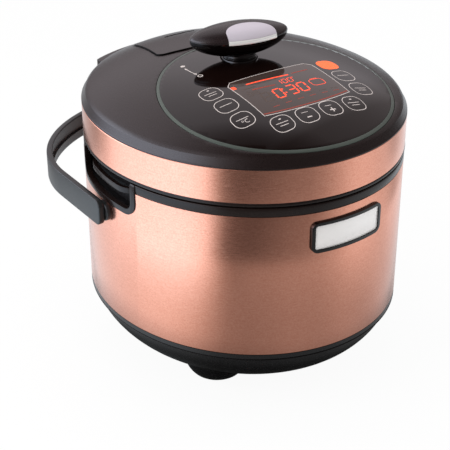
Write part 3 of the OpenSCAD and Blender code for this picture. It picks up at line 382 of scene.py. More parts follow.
def loop(bm, points, closed=True):
    # a chain of edges through the points
    verts = [bm.verts.new(p) for p in points]
    count = len(verts) if closed else len(verts) - 1
    return verts, [bm.edges.new((verts[i], verts[(i + 1) % len(verts)])) for i in range(count)]


def spun(bm, profile, steps=240):
    # a closed profile of (radius, height) in millimetres, spun a full turn round the upright axis
    verts, edges = loop(bm, [(r * mm, 0, z * mm) for r, z in profile])
    bmesh.ops.spin(bm, geom=verts + edges, cent=(0, 0, 0), axis=(0, 0, 1), angle=2 * math.pi, steps=steps,
                   use_merge=True)
    bmesh.ops.remove_doubles(bm, verts=bm.verts, dist=0.001 * mm)


# the lid's dome, in millimetres: edge is its inset from the outline, and its plan is round within core
dome = {"low": coverFoot + 10.5, "rise": coverTop - coverFoot - 10.5 + 0.05, "edge": 7, "power": 3, "core": 9.5}


def domeHeight(x, y):
    # height of the lid's outer surface over a point, in millimetres
    q = math.hypot(x / (sideX - dome["edge"]), y / (sideY - dome["edge"]))
    return dome["low"] + dome["rise"] * (1 - min(1, q) ** dome["power"])


def ovalDepth(r):
    # half depth of the oval whose half width is r, both in metres
    core, domeX, domeY = dome["core"] * mm, halfWidth - dome["edge"] * mm, halfDepth - dome["edge"] * mm
    if r >= domeX:
        return r + outlineExtra
    if r <= core:
        return r
    return core + (domeY - core) * (r - core) / (domeX - core)


def toOval(bm):
    # draws a round form out to the body's oval
    for v in bm.verts:
        r = math.hypot(v.co.x, v.co.y)
        if r > 1e-6:
            v.co.y *= ovalDepth(r) / r


def ovalRing(profile):
    # profile of (inset from the outline, height) in millimetres, spun round the oval
    bm = bmesh.new()
    spun(bm, [(sideX - inset, z) for inset, z in profile])
    toOval(bm)
    return bm


def roundRect(w, h, r, n=6):
    # outline of a rectangle with rounded corners of n steps each
    points = []
    for sx, sy, a0 in ((1, 1, 0), (-1, 1, 90), (-1, -1, 180), (1, -1, 270)):
        for k in range(n + 1):
            t = math.radians(a0 + 90 * k / n)
            points.append((sx * (w / 2 - r) + r * math.cos(t), sy * (h / 2 - r) + r * math.sin(t)))
    return points


def placed(points, x, y, slant=0):
    # the outline moved, and leaning by slant
    return [(px + x + slant * py, py + y) for px, py in points]


def prism(outline, low, high, turn=None):
    # extrudes a flat outline, in millimetres, between two heights; turn places it
    bm = bmesh.new()
    face = bm.faces.new(loop(bm, [(x * mm, y * mm, low * mm) for x, y in outline])[0])
    top = bmesh.ops.extrude_face_region(bm, geom=[face])["geom"]
    bmesh.ops.translate(bm, verts=[g for g in top if isinstance(g, bmesh.types.BMVert)],
                        vec=(0, 0, (high - low) * mm))
    if turn is not None:
        bmesh.ops.transform(bm, matrix=turn, verts=bm.verts)
    bmesh.ops.recalc_face_normals(bm, faces=bm.faces)
    return bm


def ellipse(rx, ry, cx=0, cy=0, n=160):
    turns = [2 * math.pi * k / n for k in range(n)]
    return [(cx + rx * math.cos(t), cy + ry * math.sin(t)) for t in turns]


def backBlock(half, near, low, high):
    # a block across the rear, half to each side, from near to behind everything
    return cutter(prism([(-half, near), (half, near), (half, 170), (-half, 170)], low, high))


# x runs along the body's side, y up, and the prism goes out along +X
sideTurn = Matrix(((0, 0, 1, 0), (1, 0, 0, 0), (0, 1, 0, 0), (0, 0, 0, 1)))
# x runs along the front, y up, and the prism goes out along -Y
frontTurn = Matrix(((1, 0, 0, 0), (0, 0, -1, 0), (0, 1, 0, 0), (0, 0, 0, 1)))
# x runs along the rear, y up, and the prism goes out along +Y
backTurn = Matrix(((1, 0, 0, 0), (0, 0, 1, 0), (0, 1, 0, 0), (0, 0, 0, 1)))


# body shell

body = {"sheet": 1.2, "edge": 0.35, "pocketLength": 94, "pocketAt": 11, "pocketDrop": 22, "pocketRim": 5,
        "pocketRadius": 12, "pocketFit": 0.02, "pocketIn": 95, "pocketOut": 150}

sheet, edge = body["sheet"], body["edge"]


def pocketPrism(side, inset, low, high):
    # the pocket's outline less inset, between two distances from the middle plane; 150 and up is outside all
    top = collarTop + 10
    bottom = topZ - body["pocketDrop"] + inset
    radius = max(1, body["pocketRadius"] - inset)
    outline = roundRect(body["pocketLength"] - 2 * inset, top - bottom, radius, 10)
    low, high = sorted((side * low, side * high))
    return cutter(prism(placed(outline, body["pocketAt"], (top + bottom) / 2), low, high, sideTurn))


def cutPockets(piece, inset=body["pocketFit"], low=body["pocketIn"]):
    # takes both pockets out of a piece, from low outwards
    combine(piece, "DIFFERENCE", *[pocketPrism(side, inset, low, body["pocketOut"]) for side in (-1, 1)])


sheetProfile = [(sheet, lowZ), (sheet, topZ), (edge, topZ), (0.1, topZ - 0.1), (0, topZ - edge),
                (0, lowZ + edge), (0.1, lowZ + 0.1), (edge, lowZ)]
shell = finish(ovalRing(sheetProfile), "bodyShell", copper, "housing", "copper_sheet", "body_shell")
cutPockets(shell)
print("body shell made")


# collar with the rims of the pockets

collar = {"wall": 4, "skirt": 5, "deck": 2.5, "deckHole": 121.2, "deckInset": 11, "round": 1.1, "proud": 1}

wall, rounding, deckTop = collar["wall"], collar["round"], topZ + collar["deck"]
profile = [(wall, topZ - collar["skirt"]), (wall, topZ), (12, topZ), (12, deckTop), (wall, deckTop),
           (wall, collarTop - 0.4), (wall - 0.4, collarTop)]
for k in range(6):
    t = math.radians(18 * k)
    profile.append((rounding * (1 - math.sin(t)), collarTop - rounding * (1 - math.cos(t))))
profile += [(0, topZ + 0.5), (0.3, topZ + 0.05), (sheet + 0.05, topZ + 0.05),
            (sheet + 0.05, topZ - collar["skirt"])]
collarPiece = finish(ovalRing(profile), "collarBand", brownAbs, "housing", "brown_plastic", "collar")
cutPockets(collarPiece)


def pocketFrame(side, name):
    # rounded rim that follows the shell round the mouth of a pocket
    proud, low = collar["proud"], topZ - body["pocketDrop"] - 2
    band = cutter(ovalRing([(wall, low), (wall, collarTop), (0, collarTop), (-proud, collarTop - 1.2),
                            (-proud, low)]))
    rim = pocketPrism(side, body["pocketFit"], 90, 160)
    combine(rim, "INTERSECT", band)
    combine(rim, "DIFFERENCE", pocketPrism(side, body["pocketRim"], 80, 170))
    soften(rim, 0.6, 3, 45)
    settle(rim, name, brownAbs, "housing", "brown_plastic", "collar")


pocketFrame(-1, "pocketRimLeft")
pocketFrame(1, "pocketRimRight")

deckRing = bmesh.new()
deckHole, deckEdge = collar["deckHole"], sideX - collar["deckInset"]
spun(deckRing, [(deckHole, topZ), (deckEdge, topZ), (deckEdge, deckTop), (deckHole, deckTop)], 160)
for v in deckRing.verts:      # the inner edge stays round, on the pot's axis, and the outer one meets the oval
    rr = math.hypot(v.co.x, v.co.y)
    if rr > (deckHole + 0.8) * mm:
        v.co.y *= (sideY - collar["deckInset"]) * mm / rr
    else:
        v.co.y += axisY * mm
deckPiece = finish(deckRing, "collarDeck", brownAbs, "housing", "brown_plastic", "collar")
cutPockets(deckPiece, 1.5, deckHole + 0.6)
print("collar made")


# grip bars in the pockets

grip = {"height": 5, "thick": 4, "inset": 1.6, "deep": 9.4, "drop": 1.5, "half": 35, "bend": 14, "round": 1.7,
        "steps": 28}


def gripEdge(side, along, half, bend, inset, deep):
    # a point of the bar's plan: it follows the outline and turns in at both ends
    share = max(0, (abs(along) - half + bend) / bend)
    into = inset + deep * (1 - math.sqrt(max(0, 1 - share * share)))
    y = along + body["pocketAt"]
    x = (sideX - into) * math.sqrt(1 - (y / (sideY - into)) ** 2)
    return (side * x, y)


def gripBar(side, name, node):
    n, thick, deep = grip["steps"], grip["thick"], grip["deep"] - grip["inset"]
    shares = [math.sin(math.pi / 2 * k / n) for k in range(-n, n + 1)]
    half, bend, inset = grip["half"], grip["bend"], grip["inset"]
    front = [gripEdge(side, half * k, half, bend, inset, deep) for k in shares]
    half, bend, inset = half - thick, bend - thick, inset + thick
    back = [gripEdge(side, half * k, half, bend, inset, deep - thick) for k in shares[::-1]]
    top = topZ - grip["drop"]
    plan = prism(front + back, top - grip["height"], top)
    bar = finish(plan, name, brownAbs, "housing", "brown_plastic", node)
    soften(bar, grip["round"], 4, 50, 50)


gripBar(-1, "gripBarLeft", "grip_left")
gripBar(1, "gripBarRight", "grip_right")
print("grips made")


# badge

badge = {"width": 70, "height": 27, "rim": 2.7, "drop": 21.5, "out": 3, "radius": 6, "gap": 0.15, "back": 120}

badgeZ = topZ - badge["drop"]


def frontPrism(w, h, r, low, high):
    return cutter(prism(placed(roundRect(w, h, r, 8), 0, badgeZ), low, high, frontTurn))


def badgeLayer(out):
    # everything within out of the shell's surface, at the badge's height
    low, high = badgeZ - badge["height"], badgeZ + badge["height"]
    return cutter(ovalRing([(0, low), (0, high), (-out, high), (-out, low)]))


badgeFrame = frontPrism(badge["width"], badge["height"], badge["radius"], badge["back"], 160)
combine(badgeFrame, "INTERSECT", badgeLayer(badge["out"]))
plateWide, plateHigh = badge["width"] - 2 * badge["rim"] - 0.6, badge["height"] - 2 * badge["rim"]
combine(badgeFrame, "DIFFERENCE", frontPrism(plateWide, plateHigh, 2.2, 100, 170))
soften(badgeFrame, 0.9, 3, 45)
settle(badgeFrame, "badgeFrame", knobBlack, "housing", "brown_plastic", "badge_frame")

badgePlate = frontPrism(plateWide - 2 * badge["gap"], plateHigh - 2 * badge["gap"], 2, badge["back"], 160)
combine(badgePlate, "INTERSECT", badgeLayer(badge["out"] - 1))
soften(badgePlate, 0.6, 2, 45)
settle(badgePlate, "badgePlate", badgePaintedReflection, "housing", "plate_mirror", "badge_plate")
print("badge made")


# base bowl, legs and pads

base = {"low": 12, "rise": 61, "start": 8, "draw": 0.53, "wall": 2.6, "lip": 4.6, "grooveDeep": 0.8,
        "steps": 26, "inletWide": 44.6, "inletHigh": 26.6}


def bowlPoint(phi, inset):
    # a point of the bowl's section, phi below its rim, and inset within its skin
    share = 1 - base["draw"] * (1 - math.cos(phi))
    x = sideX * share - inset * math.cos(phi)
    z = base["low"] + base["rise"] * (1 - math.sin(phi)) + inset * math.sin(phi)
    return x, z


phi0 = math.asin(base["start"] / base["rise"])
angles = [phi0 + (math.pi / 2 - phi0) * k / base["steps"] for k in range(base["steps"] + 1)]
bowlOuter = [bowlPoint(t, 0) for t in angles[::-1]]
bowlInner = [bowlPoint(t, base["wall"]) for t in angles]
grooveTop, grooveX = lowZ - base["lip"], sideX - base["grooveDeep"]
profile = [p for p in bowlOuter if p[1] < grooveTop - 1.2]
profile += [(sideX - 0.05, grooveTop - 0.9), (grooveX, grooveTop - 0.5), (grooveX, grooveTop),
            (sideX - 0.25, grooveTop + 0.3), (sideX - 0.25, lowZ - 0.6), (sideX - 1.3, lowZ - 0.1),
            (sideX - 1.35, lowZ + 5), (sideX - 3.3, lowZ + 5)]
profile += [p for p in bowlInner if p[1] < lowZ - 2]
bowl = bmesh.new()
spun(bowl, profile)
for v in bowl.verts:       # towards the floor of the bowl the oval shrinks evenly
    rr = math.hypot(v.co.x, v.co.y)
    v.co.y *= (halfDepth / halfWidth) if rr < 0.12 else (rr + outlineExtra * (rr / halfWidth)) / rr
bowlPiece = finish(bowl, "baseBowl", blackBase, "housing", "black_plastic", "base_bowl", sharp=30)
inletTurn = Matrix.Translation((0, 0, sum(heights("power_inlet")) / 2 * mm)) @ backTurn
combine(bowlPiece, "DIFFERENCE",
        cutter(prism(roundRect(base["inletWide"], base["inletHigh"], 1), 100, 170, inletTurn)))

foot = {"radius": 26, "padHigh": 3, "padRadius": 12.13, "fuller": 0.12, "steps": 14, "padSteps": 8, "up": 6}

footLow = math.acos(1 - foot["padHigh"] / foot["radius"])


def footPoint(t, fuller=1.0):
    # a point of the foot's ball, and a little outside it where it is fuller
    return foot["radius"] * math.sin(t) * fuller, foot["radius"] * (1 - math.cos(t))


footProfile = [(0.01, foot["padHigh"])]
for k in range(foot["steps"] + 1):
    t = footLow + (math.pi / 2 - footLow) * k / foot["steps"]
    footProfile.append(footPoint(t, 1 + foot["fuller"] * min(1, k / 5)))
footTop = foot["radius"] + foot["up"]
footProfile += [(footProfile[-1][0], footTop), (0.01, footTop)]
padProfile = [footPoint(footLow * k / foot["padSteps"]) for k in range(2, foot["padSteps"] + 1)]
padProfile[0] = (padProfile[0][0], 0)        # flat where it stands
padProfile = [(0.01, 0)] + padProfile + [(0.01, foot["padHigh"])]
padLow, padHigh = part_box("feet")
inset = foot["padRadius"] * mm
footPlaces = [(x, y) for x in (padLow.x + inset, padHigh.x - inset)
              for y in (padLow.y + inset, padHigh.y - inset)]


def fourTimes(profile):
    # the same spun form at each foot
    part, whole = bmesh.new(), bmesh.new()
    spun(part, profile, 96)
    bmesh.ops.recalc_face_normals(part, faces=part.faces)
    for x, y in footPlaces:
        one = part.copy()
        bmesh.ops.translate(one, verts=one.verts, vec=(x, y, 0))
        temp = bpy.data.meshes.new("foot")
        one.to_mesh(temp)
        one.free()
        whole.from_mesh(temp)
        bpy.data.meshes.remove(temp)
    part.free()
    return whole


legPiece = finish(fourTimes(footProfile), "legs", blackBase, "housing", "black_plastic", "legs")
finish(fourTimes(padProfile), "feetPads", footRubber, "housing", "foot_rubber", "feet")
bowlBlock = bmesh.new()        # the legs end where the bowl begins
spun(bowlBlock, [(0.001, base["low"] + 0.3)] + bowlOuter + [(0.001, bowlOuter[-1][1])], 160)
for v in bowlBlock.verts:
    v.co.y *= halfDepth / halfWidth
combine(legPiece, "DIFFERENCE", cutter(bowlBlock))
print("base made")


# bail

bail = {"gap": 3.5, "thick": 5.5, "height": 23, "pivotY": 7.6, "pivotDrop": 32, "tip": 5.6, "corner": 6.5,
        "straight": 70.22, "reach": 188, "long": 220, "round": 1.3, "hole": 4.1, "channelLow": -3.5,
        "channelTop": 10.3, "channelDeep": 2.4, "channelFrom": 62}

pivotZ = topZ - bail["pivotDrop"]
armIn = sideX + bail["gap"]


def bailOutline(inset, outset, startY, n=72):
    # plan of the bail's band, from inset outside the inner face to outset inside the outer face
    inX, outX = armIn + inset, armIn + bail["thick"] - outset
    bowIn = bail["reach"] - bail["straight"] - bail["thick"] + inset
    bowOut = bail["reach"] - bail["straight"] - outset
    points = [(outX, startY)]
    points += [(outX * math.cos(math.pi * k / n), bail["straight"] + bowOut * math.sin(math.pi * k / n))
               for k in range(n + 1)]
    points += [(-outX, startY), (-inX, startY)]
    points += [(inX * math.cos(math.pi * k / n), bail["straight"] + bowIn * math.sin(math.pi * k / n))
               for k in range(n, -1, -1)]
    points += [(inX, startY)]
    return points


tipY = bail["pivotY"] - bail["tip"]
bailPiece = cutter(prism(bailOutline(0, 0, tipY - 1), pivotZ - bail["height"] / 2, pivotZ + bail["height"] / 2))
sideShape = placed(roundRect(bail["long"], bail["height"], bail["corner"], 10), tipY + bail["long"] / 2, pivotZ)
combine(bailPiece, "INTERSECT", cutter(prism(sideShape, -160, 160, sideTurn)))
soften(bailPiece, bail["round"], 4, 50, 50)
channel = prism(bailOutline(-2, bail["thick"] - bail["channelDeep"], bail["channelFrom"]),
                pivotZ + bail["channelLow"], pivotZ + bail["channelTop"])
combine(bailPiece, "DIFFERENCE", cutter(channel))
hole = placed(ellipse(bail["hole"], bail["hole"], n=48), bail["pivotY"], pivotZ)
for side in (-1, 1):
    lowX, highX = sorted((side * (armIn - 3), side * (armIn + bail["thick"] - 2)))
    combine(bailPiece, "DIFFERENCE", cutter(prism(hole, lowX, highX, sideTurn)))
settle(bailPiece, "bailHandle", bailNylon, "bail", "bail_plastic", "bail", "bail_arm_left", "bail_arm_right")

boss = {"radius": 9, "stud": 4, "from": 128, "gap": 0.3, "studLong": 5}
for side, name, node in ((-1, "bossLeft", "bail_boss_left"), (1, "bossRight", "bail_boss_right")):
    face, rr, stud = armIn - boss["gap"], boss["radius"], boss["stud"]
    bm = bmesh.new()
    spun(bm, [(0.01, boss["from"]), (rr, boss["from"]), (rr, face - 1.3), (rr - 0.5, face - 1.1),
              (rr - 0.5, face - 0.7), (rr - 0.2, face - 0.5), (rr - 0.7, face), (stud, face),
              (stud, face + boss["studLong"]), (0.01, face + boss["studLong"])], 72)
    quarter = Matrix.Rotation(math.radians(90 * side), 4, "Y")
    bmesh.ops.transform(bm, matrix=Matrix.Translation((0, bail["pivotY"] * mm, pivotZ * mm)) @ quarter,
                        verts=bm.verts)
    finish(bm, name, bailNylon, "housing", "bail_plastic", node)
print("bail made")


# lid band, lip and cover

lid = {"crease": 3.6, "creaseSlope": 1.2, "cover": 2.5, "neckHole": 16, "steamUp": 1.2, "notch": 29.8,
       "notchFrom": 120, "steps": 30, "underSteps": 14}

bandFoot, bandTop = heights("lid_band")
bandProfile = [(sheet, bandFoot), (sheet, bandTop), (0.3, bandTop), (0, bandTop - 0.3), (0, bandFoot + 0.3),
               (0.3, bandFoot)]
band = finish(ovalRing(bandProfile), "lidBand", copper, "lid", "copper_sheet", "lid_band")
armLow, armTop = heights("hinge_arm")
combine(band, "DIFFERENCE", backBlock(lid["notch"], lid["notchFrom"], armLow - 1, armTop + 1))

lipLow = heights("lid_liner")[0]
lip = [(0.6, lipLow - 0.05), (0, lipLow), (-0.25, lipLow + 0.4), (-0.3, lipLow + 1.3), (-0.15, lipLow + 2.2),
       (0.1, bandFoot - 0.05), (0.6, bandFoot - 0.05)]
lipPiece = finish(ovalRing(lip), "lidLip", brownAbs, "lid", "brown_plastic", sharp=60)
combine(lipPiece, "DIFFERENCE", backBlock(lid["notch"], lid["notchFrom"], lipLow + 0.2, lipLow + 10))

edgeX = sideX - dome["edge"]


def domeProfile(lift, steps):
    # points of (radius, height) on the dome from its edge to its core
    radii = [dome["core"] + (edgeX - dome["core"]) * (1 - k / steps) for k in range(steps + 1)]
    return [(rr, domeHeight(rr, 0) + lift) for rr in radii]


def rimProfile():
    # the straight rim, the flat bevel and the curve into the dome; close points keep the bevel's creases crisp
    edgeZ, slope = domeHeight(edgeX, 0), domeHeight(edgeX - 1, 0) - domeHeight(edgeX, 0)
    run = dome["edge"] - lid["crease"]
    gain = (lid["creaseSlope"] - slope) / (2 * run)
    curve = [(edgeX + run * k, edgeZ - run * k * (slope + gain * run * k))
             for k in (1, 0.93, 0.75, 0.5, 0.25, 0)]
    foot, top = (sideX - 0.5, coverFoot + 1.7), curve[0]
    points = [(sideX - 0.3, coverFoot), (sideX, coverFoot + 0.3), (sideX, coverFoot + 0.9),
              (sideX - 0.1, coverFoot + 1.3)]
    points += [(foot[0] + (top[0] - foot[0]) * k, foot[1] + (top[1] - foot[1]) * k)
               for k in (0, 0.05, 0.5, 0.94)]
    return points + curve


def coverLayer(thick, up=0):
    # the lid's cover as a closed shell, its dome raised by up
    outer = rimProfile() + domeProfile(up, lid["steps"])[1:]
    under = domeProfile(up - thick, lid["underSteps"])[::-1]
    under[-1] = (under[-1][0] - 1, under[-1][1])
    inner = [(sideX - thick, coverFoot + 1), (sideX - thick, coverFoot)]
    bm = bmesh.new()
    spun(bm, outer + under + inner, 256)
    toOval(bm)
    return bm


panel = {"rx": 99.16, "ry": 93.34, "y": 47.26, "ring": 2.6, "gap": 0.5}
steam = {"x": 49.45, "taper": 0.78, "bow": 6.4, "corner": 4, "front": 46.98, "deep": 70, "gap": 1.1, "slot": 32,
         "slotIn": 18.5}


def throughLid(outline, low=18):
    # a prism right through the lid, from low under the cover's foot
    return cutter(prism(outline, coverFoot - low, coverFoot + 60))


def panelCut(inset):
    return throughLid(ellipse(panel["rx"] - inset, panel["ry"] - inset, 0, -panel["y"]), 5)


def steamOutline(inset, n=16):
    # bowed front along the trim ring, rounded corners and sides that draw in to the rear
    y0, y1 = steam["front"] + inset, steam["front"] + steam["deep"] - inset
    x0, x1 = steam["x"] - inset, steam["x"] * steam["taper"] - inset
    c, bow = steam["corner"], steam["bow"]
    points = [(x0 * 0.92 * k / n, y0 + bow * (0.92 * k / n) ** 2) for k in range(-n, n + 1)]
    for sign in (1, -1):
        front = [((x0 - 0.9) * sign, y0 + bow + c * 0.45), (x0 * sign, y0 + bow + c)]
        rear = [(x1 * sign, y1 - c), ((x1 - 1.2) * sign, y1 - 1.2), ((x1 - c) * sign, y1)]
        points += (front + rear)[::sign]
    return points


coverPiece = finish(coverLayer(lid["cover"]), "lidCover", lidAbs, "lid", "lid_plastic", "lid_cover")
combine(coverPiece, "DIFFERENCE", panelCut(-panel["gap"]), throughLid(steamOutline(0.3 - steam["gap"])))
soften(coverPiece, 0.35, 2, 60, 45)

ringPiece = cutter(coverLayer(lid["cover"]))
combine(ringPiece, "INTERSECT", panelCut(0))
combine(ringPiece, "DIFFERENCE", panelCut(panel["ring"]))
soften(ringPiece, 0.8, 3, 45, 50)
settle(ringPiece, "panelTrimRing", trimRing, "lid", "ring_metal", "panel_ring")

panelPiece = cutter(coverLayer(lid["cover"]))
combine(panelPiece, "INTERSECT", panelCut(panel["ring"] + 0.15))
combine(panelPiece, "DIFFERENCE", throughLid(ellipse(lid["neckHole"], lid["neckHole"], 0, axisY, 96), 0))
soften(panelPiece, 0.3, 2, 60, 30)
settle(panelPiece, "controlPanel", panelAcrylic, "lid", "panel_gloss", "control_panel")

steamPiece = cutter(coverLayer(lid["cover"] + lid["steamUp"], lid["steamUp"]))
combine(steamPiece, "INTERSECT", throughLid(steamOutline(0.3)))
slotY = steam["front"] + steam["deep"] - steam["slotIn"]
combine(steamPiece, "DIFFERENCE", throughLid(placed(roundRect(steam["slot"], 3.6, 1.6), 0, slotY)))
soften(steamPiece, 0.35, 3, 45, 35)
settle(steamPiece, "steamCover", lidAbs, "steam_cap", "lid_plastic", "steam_cover")
# the dull black on the cover's steep faces and slot is painted shade
steamPiece.data.materials.append(blackDullPaintedShade)
for p in steamPiece.data.polygons:      # the edges and the slot stand in shade
    if abs(p.normal.z) < 0.5:
        p.material_index = 1
print("lid made")


# prints and display on the panel

ink = {"lift": 0.05, "line": 0.6, "thin": 0.5, "keyWide": 18, "keyHigh": 17.2, "keyRound": 6.6}
keyPlaces = {"left": [(-59, -39.8), (-58.9, -61.2), (-58.5, -83)], "right": [(56, -65), (57, -86.4)],
             "front": [(-35.2, -103.3), (-11.7, -104), (11.7, -104), (35.4, -104)]}
orangePlace = (56, -43.6)
lifts = {"window": 0.02, "unlit": 0.04, "faint": 0.045, "lit": 0.06}     # the display's layers over the panel
windowLines = {"left": -42.5, "right": 42.5, "far": -34.5, "near": -89.5, "bow": 5.5, "corner": 5, "steps": 14}


def onDome(bm, lift):
    # lays a flat drawing, in millimetres, on the lid's dome
    for v in bm.verts:
        x, y = v.co.x, v.co.y
        v.co = Vector((x, y, domeHeight(x, y) + lift)) * mm


def stroke(bm, points, width, closed=False):
    # a line of even width along the points: its edge loop is doubled and bridged
    last = len(points) - 1
    rails = []
    for offset in (width / 2, -width / 2):
        rail = []
        for i, (x, y) in enumerate(points):
            before = points[i - 1] if (i or closed) else points[i]
            after = points[(i + 1) % len(points)] if (i < last or closed) else points[i]
            run = Vector((after[0] - before[0], after[1] - before[1])).normalized()
            rail.append((x - run.y * offset, y + run.x * offset, 0))
        rails += loop(bm, rail, closed)[1]
    bmesh.ops.bridge_loops(bm, edges=rails)


def patch(bm, outline, rings=5):
    # a filled shape with inner rings, so that it can bend with the dome
    face = bm.faces.new([bm.verts.new((x, y, 0)) for x, y in outline])
    centre = face.calc_center_median()
    for k in range(rings, 0, -1):
        bmesh.ops.inset_region(bm, faces=[face], thickness=0.001, use_boundary=True)
        share = (k - 0.5) / (k + 0.5)
        for v in face.verts:
            v.co = centre + (v.co - centre) * share


def dense(points, step, closed=True):
    # the same outline with a point at least every step millimetres
    out = []
    n = len(points)
    for i in range(n if closed else n - 1):
        a, b = Vector(points[i]), Vector(points[(i + 1) % n])
        parts = max(1, math.ceil((b - a).length / step))
        out += [tuple(a + (b - a) * k / parts) for k in range(parts)]
    return out if closed else out + [points[-1]]


def printed(bm, name, mat, slot, lift):
    # lays the drawing on the dome with every face outwards
    onDome(bm, lift)
    bm.normal_update()
    for f in bm.faces:
        if f.normal.z < 0:
            f.normal_flip()
    return finish(bm, name, mat, "lid", slot, recalc=False)


def windowOutline(inset):
    # the near side is bowed, and the far corners are cut off
    w, n, corner = windowLines, windowLines["steps"], windowLines["corner"]
    left, right, far, near = w["left"] + inset, w["right"] - inset, w["far"] - inset, w["near"] + inset
    bowed = [(left + (right - left) * k / n, near - w["bow"] * (1 - (2 * k / n - 1) ** 2))
             for k in range(n + 1)]
    return bowed + [(right, far - corner), (right - corner, far), (left + corner, far), (left, far - corner)]


windowBm = bmesh.new()
patch(windowBm, dense(windowOutline(0.2), 4), 14)
printed(windowBm, "displayWindow", displayWindow, "display_glass", lifts["window"])

white = bmesh.new()
stroke(white, dense(windowOutline(0), 3), ink["line"], True)
keyShape = roundRect(ink["keyWide"], ink["keyHigh"], ink["keyRound"], 7)
for group in keyPlaces.values():
    for x, y in group:
        stroke(white, dense(placed(keyShape, x, y), 3), ink["line"], True)
timer, minus, plus, cancel = keyPlaces["front"]
heat = keyPlaces["left"][2]
for x, y in keyPlaces["left"] + keyPlaces["right"] + [timer, cancel]:
    stroke(white, [(x - 5.5, y + 1.2), (x + 5.5, y + 0.6)], ink["line"])
for x, y in (keyPlaces["left"][0], timer, cancel, keyPlaces["right"][1]):
    stroke(white, [(x - 3.5, y - 2), (x + 4, y - 2.4)], ink["line"])
for x, y in (minus, plus):
    stroke(white, [(x - 3.5, y + 3.4), (x + 2.5, y + 3)], ink["thin"])
stroke(white, placed([(-2, -2.6), (2.4, -2.9)], *minus), 1.1)
stroke(white, placed([(-2.4, -2), (3, -2.4)], *plus), 1)
stroke(white, placed([(0.2, 0.4), (0.2, -4.8)], *plus), 1)
stroke(white, placed(ellipse(0.8, 0.8, -1.6, -2, 10), *heat), 0.35, True)
opened = [math.radians(t) for t in range(55, 306, 25)]
stroke(white, placed([(1.9 * math.cos(t) + 2.2, 1.9 * math.sin(t) - 3) for t in opened], *heat), 0.5)
for x, y in ((-58.4, -34.2), (-34.6, -98.4), (35.6, -98.8)):
    patch(white, placed(roundRect(2.2, 1.2, 0.5, 3), x, y), 1)
# beside the knob: open mark, closed mark and the arrow between them
patch(white, placed(ellipse(2, 2, n=24), -48.7, 17.5), 2)
stroke(white, placed(ellipse(1.9, 1.9, n=24), -48.3, -8.2), 0.9, True)
sweep = [math.radians(t) for t in range(172, 193, 3)]
stroke(white, [(47.5 * math.cos(t) - 2.6, 47.5 * math.sin(t) + axisY) for t in sweep], 0.8)
patch(white, [(-50.6, 12.6), (-51, 9.4), (-48.6, 9.8)], 1)
patch(white, [(-49.4, -5), (-50.6, -1.7), (-47.8, -2)], 1)
printed(white, "panelPrint", whiteInkPaintedGlow, "panel_gloss", ink["lift"])

keyBm = bmesh.new()
patch(keyBm, dense(placed(keyShape, *orangePlace), 3), 5)
printed(keyBm, "startKeyPrint", orangeKey, "panel_gloss", ink["lift"])

digit = {"slant": 0.12, "gap": 0.12}
segments = {"a": ((0, 1), (1, 1)), "b": ((1, 1), (1, 0.5)), "c": ((1, 0.5), (1, 0)), "d": ((0, 0), (1, 0)),
            "e": ((0, 0), (0, 0.5)), "f": ((0, 0.5), (0, 1)), "g": ((0, 0.5), (1, 0.5))}
shown = {"0": "abcdef", "1": "bc", "3": "abcdg", "8": "abcdefg"}


def drawDigit(bm, figure, x, y, wide, high, line):
    # one slanted figure of up to seven bars, each a little shorter than its side
    for key in shown[figure]:
        (ax, ay), (bx, by) = segments[key]
        a, b = Vector((ax * wide, ay * high)), Vector((bx * wide, by * high))
        run = (b - a).normalized() * (line * 0.5 + digit["gap"])
        stroke(bm, placed([tuple(a + run), tuple(b - run)], x, y, digit["slant"]), line)


lit, faint, unlit = bmesh.new(), bmesh.new(), bmesh.new()
# foot, width, height and line of the figures for the time, the heat and the idle ones
timeSize, heatSize, idleSize = (-76.5, 7.2, 13, 1.3), (-59, 3.7, 6.6, 0.65), (-62, 3.6, 6.4, 0.8)
for bm, size, figures in ((lit, timeSize, (("0", -18.4), ("3", -5.2), ("0", 5.4))),
                          (lit, heatSize, (("1", -6), ("0", -0.2), ("0", 5.4))),
                          (unlit, idleSize, (("8", -36.5), ("8", -30.5))), (unlit, timeSize, (("8", -30),))):
    for figure, x in figures:
        drawDigit(bm, figure, x, *size)
for y in (-66, -72):       # the colon
    patch(lit, placed(roundRect(1.6, 1.6, 0.4, 2), -8.3, y), 1)
patch(lit, placed(roundRect(3.6, 4.4, 0.6, 3), -40.2, -44.2), 1)
stroke(lit, placed(ellipse(0.7, 0.7, n=8), 11.4, -52.8), 0.35, True)
bars = ((lit, (-28.3, -44.5), (11.9, -47.4), 1.5), (faint, (-29.3, -54.5), (-8.4, -57.4), 1.6),
        (faint, (15.7, -46.8), (32.6, -46), 1.4), (unlit, (-36, -50.5), (-24, -51.4), 1.2))
for bm, left, right, width in bars:
    stroke(bm, dense([left, right], 4, False), width)
potShape = roundRect(13, 9.5, 3, 4)
stroke(lit, dense(placed(potShape, 26, -68), 3), 0.5, True)
stroke(lit, [(22.5, -62.3), (29.5, -62.3)], 0.6)
for k in range(6):
    stroke(faint, [(-30 + 12 * k, -84 - 0.06 * k), (-24 + 12 * k, -84.2)], 0.8)
    stroke(unlit, [(-30 + 12 * k, -80.5), (-23 + 12 * k, -80.7)], 0.7)
stroke(faint, placed(windowOutline(0.8)[:windowLines["steps"] + 1], 0, 1.3), 1.1)
printed(lit, "displayLit", litOrange, "display_glass", lifts["lit"])
printed(faint, "displayFaint", dimOrange, "display_glass", lifts["faint"])
printed(unlit, "displayUnlit", unlitSegmentPaintedGlow, "display_glass", lifts["unlit"])
print("panel printed")


# hinge cover

hinge = {"x": 62, "out": 11, "wall": 2, "round": 4, "front": 90}

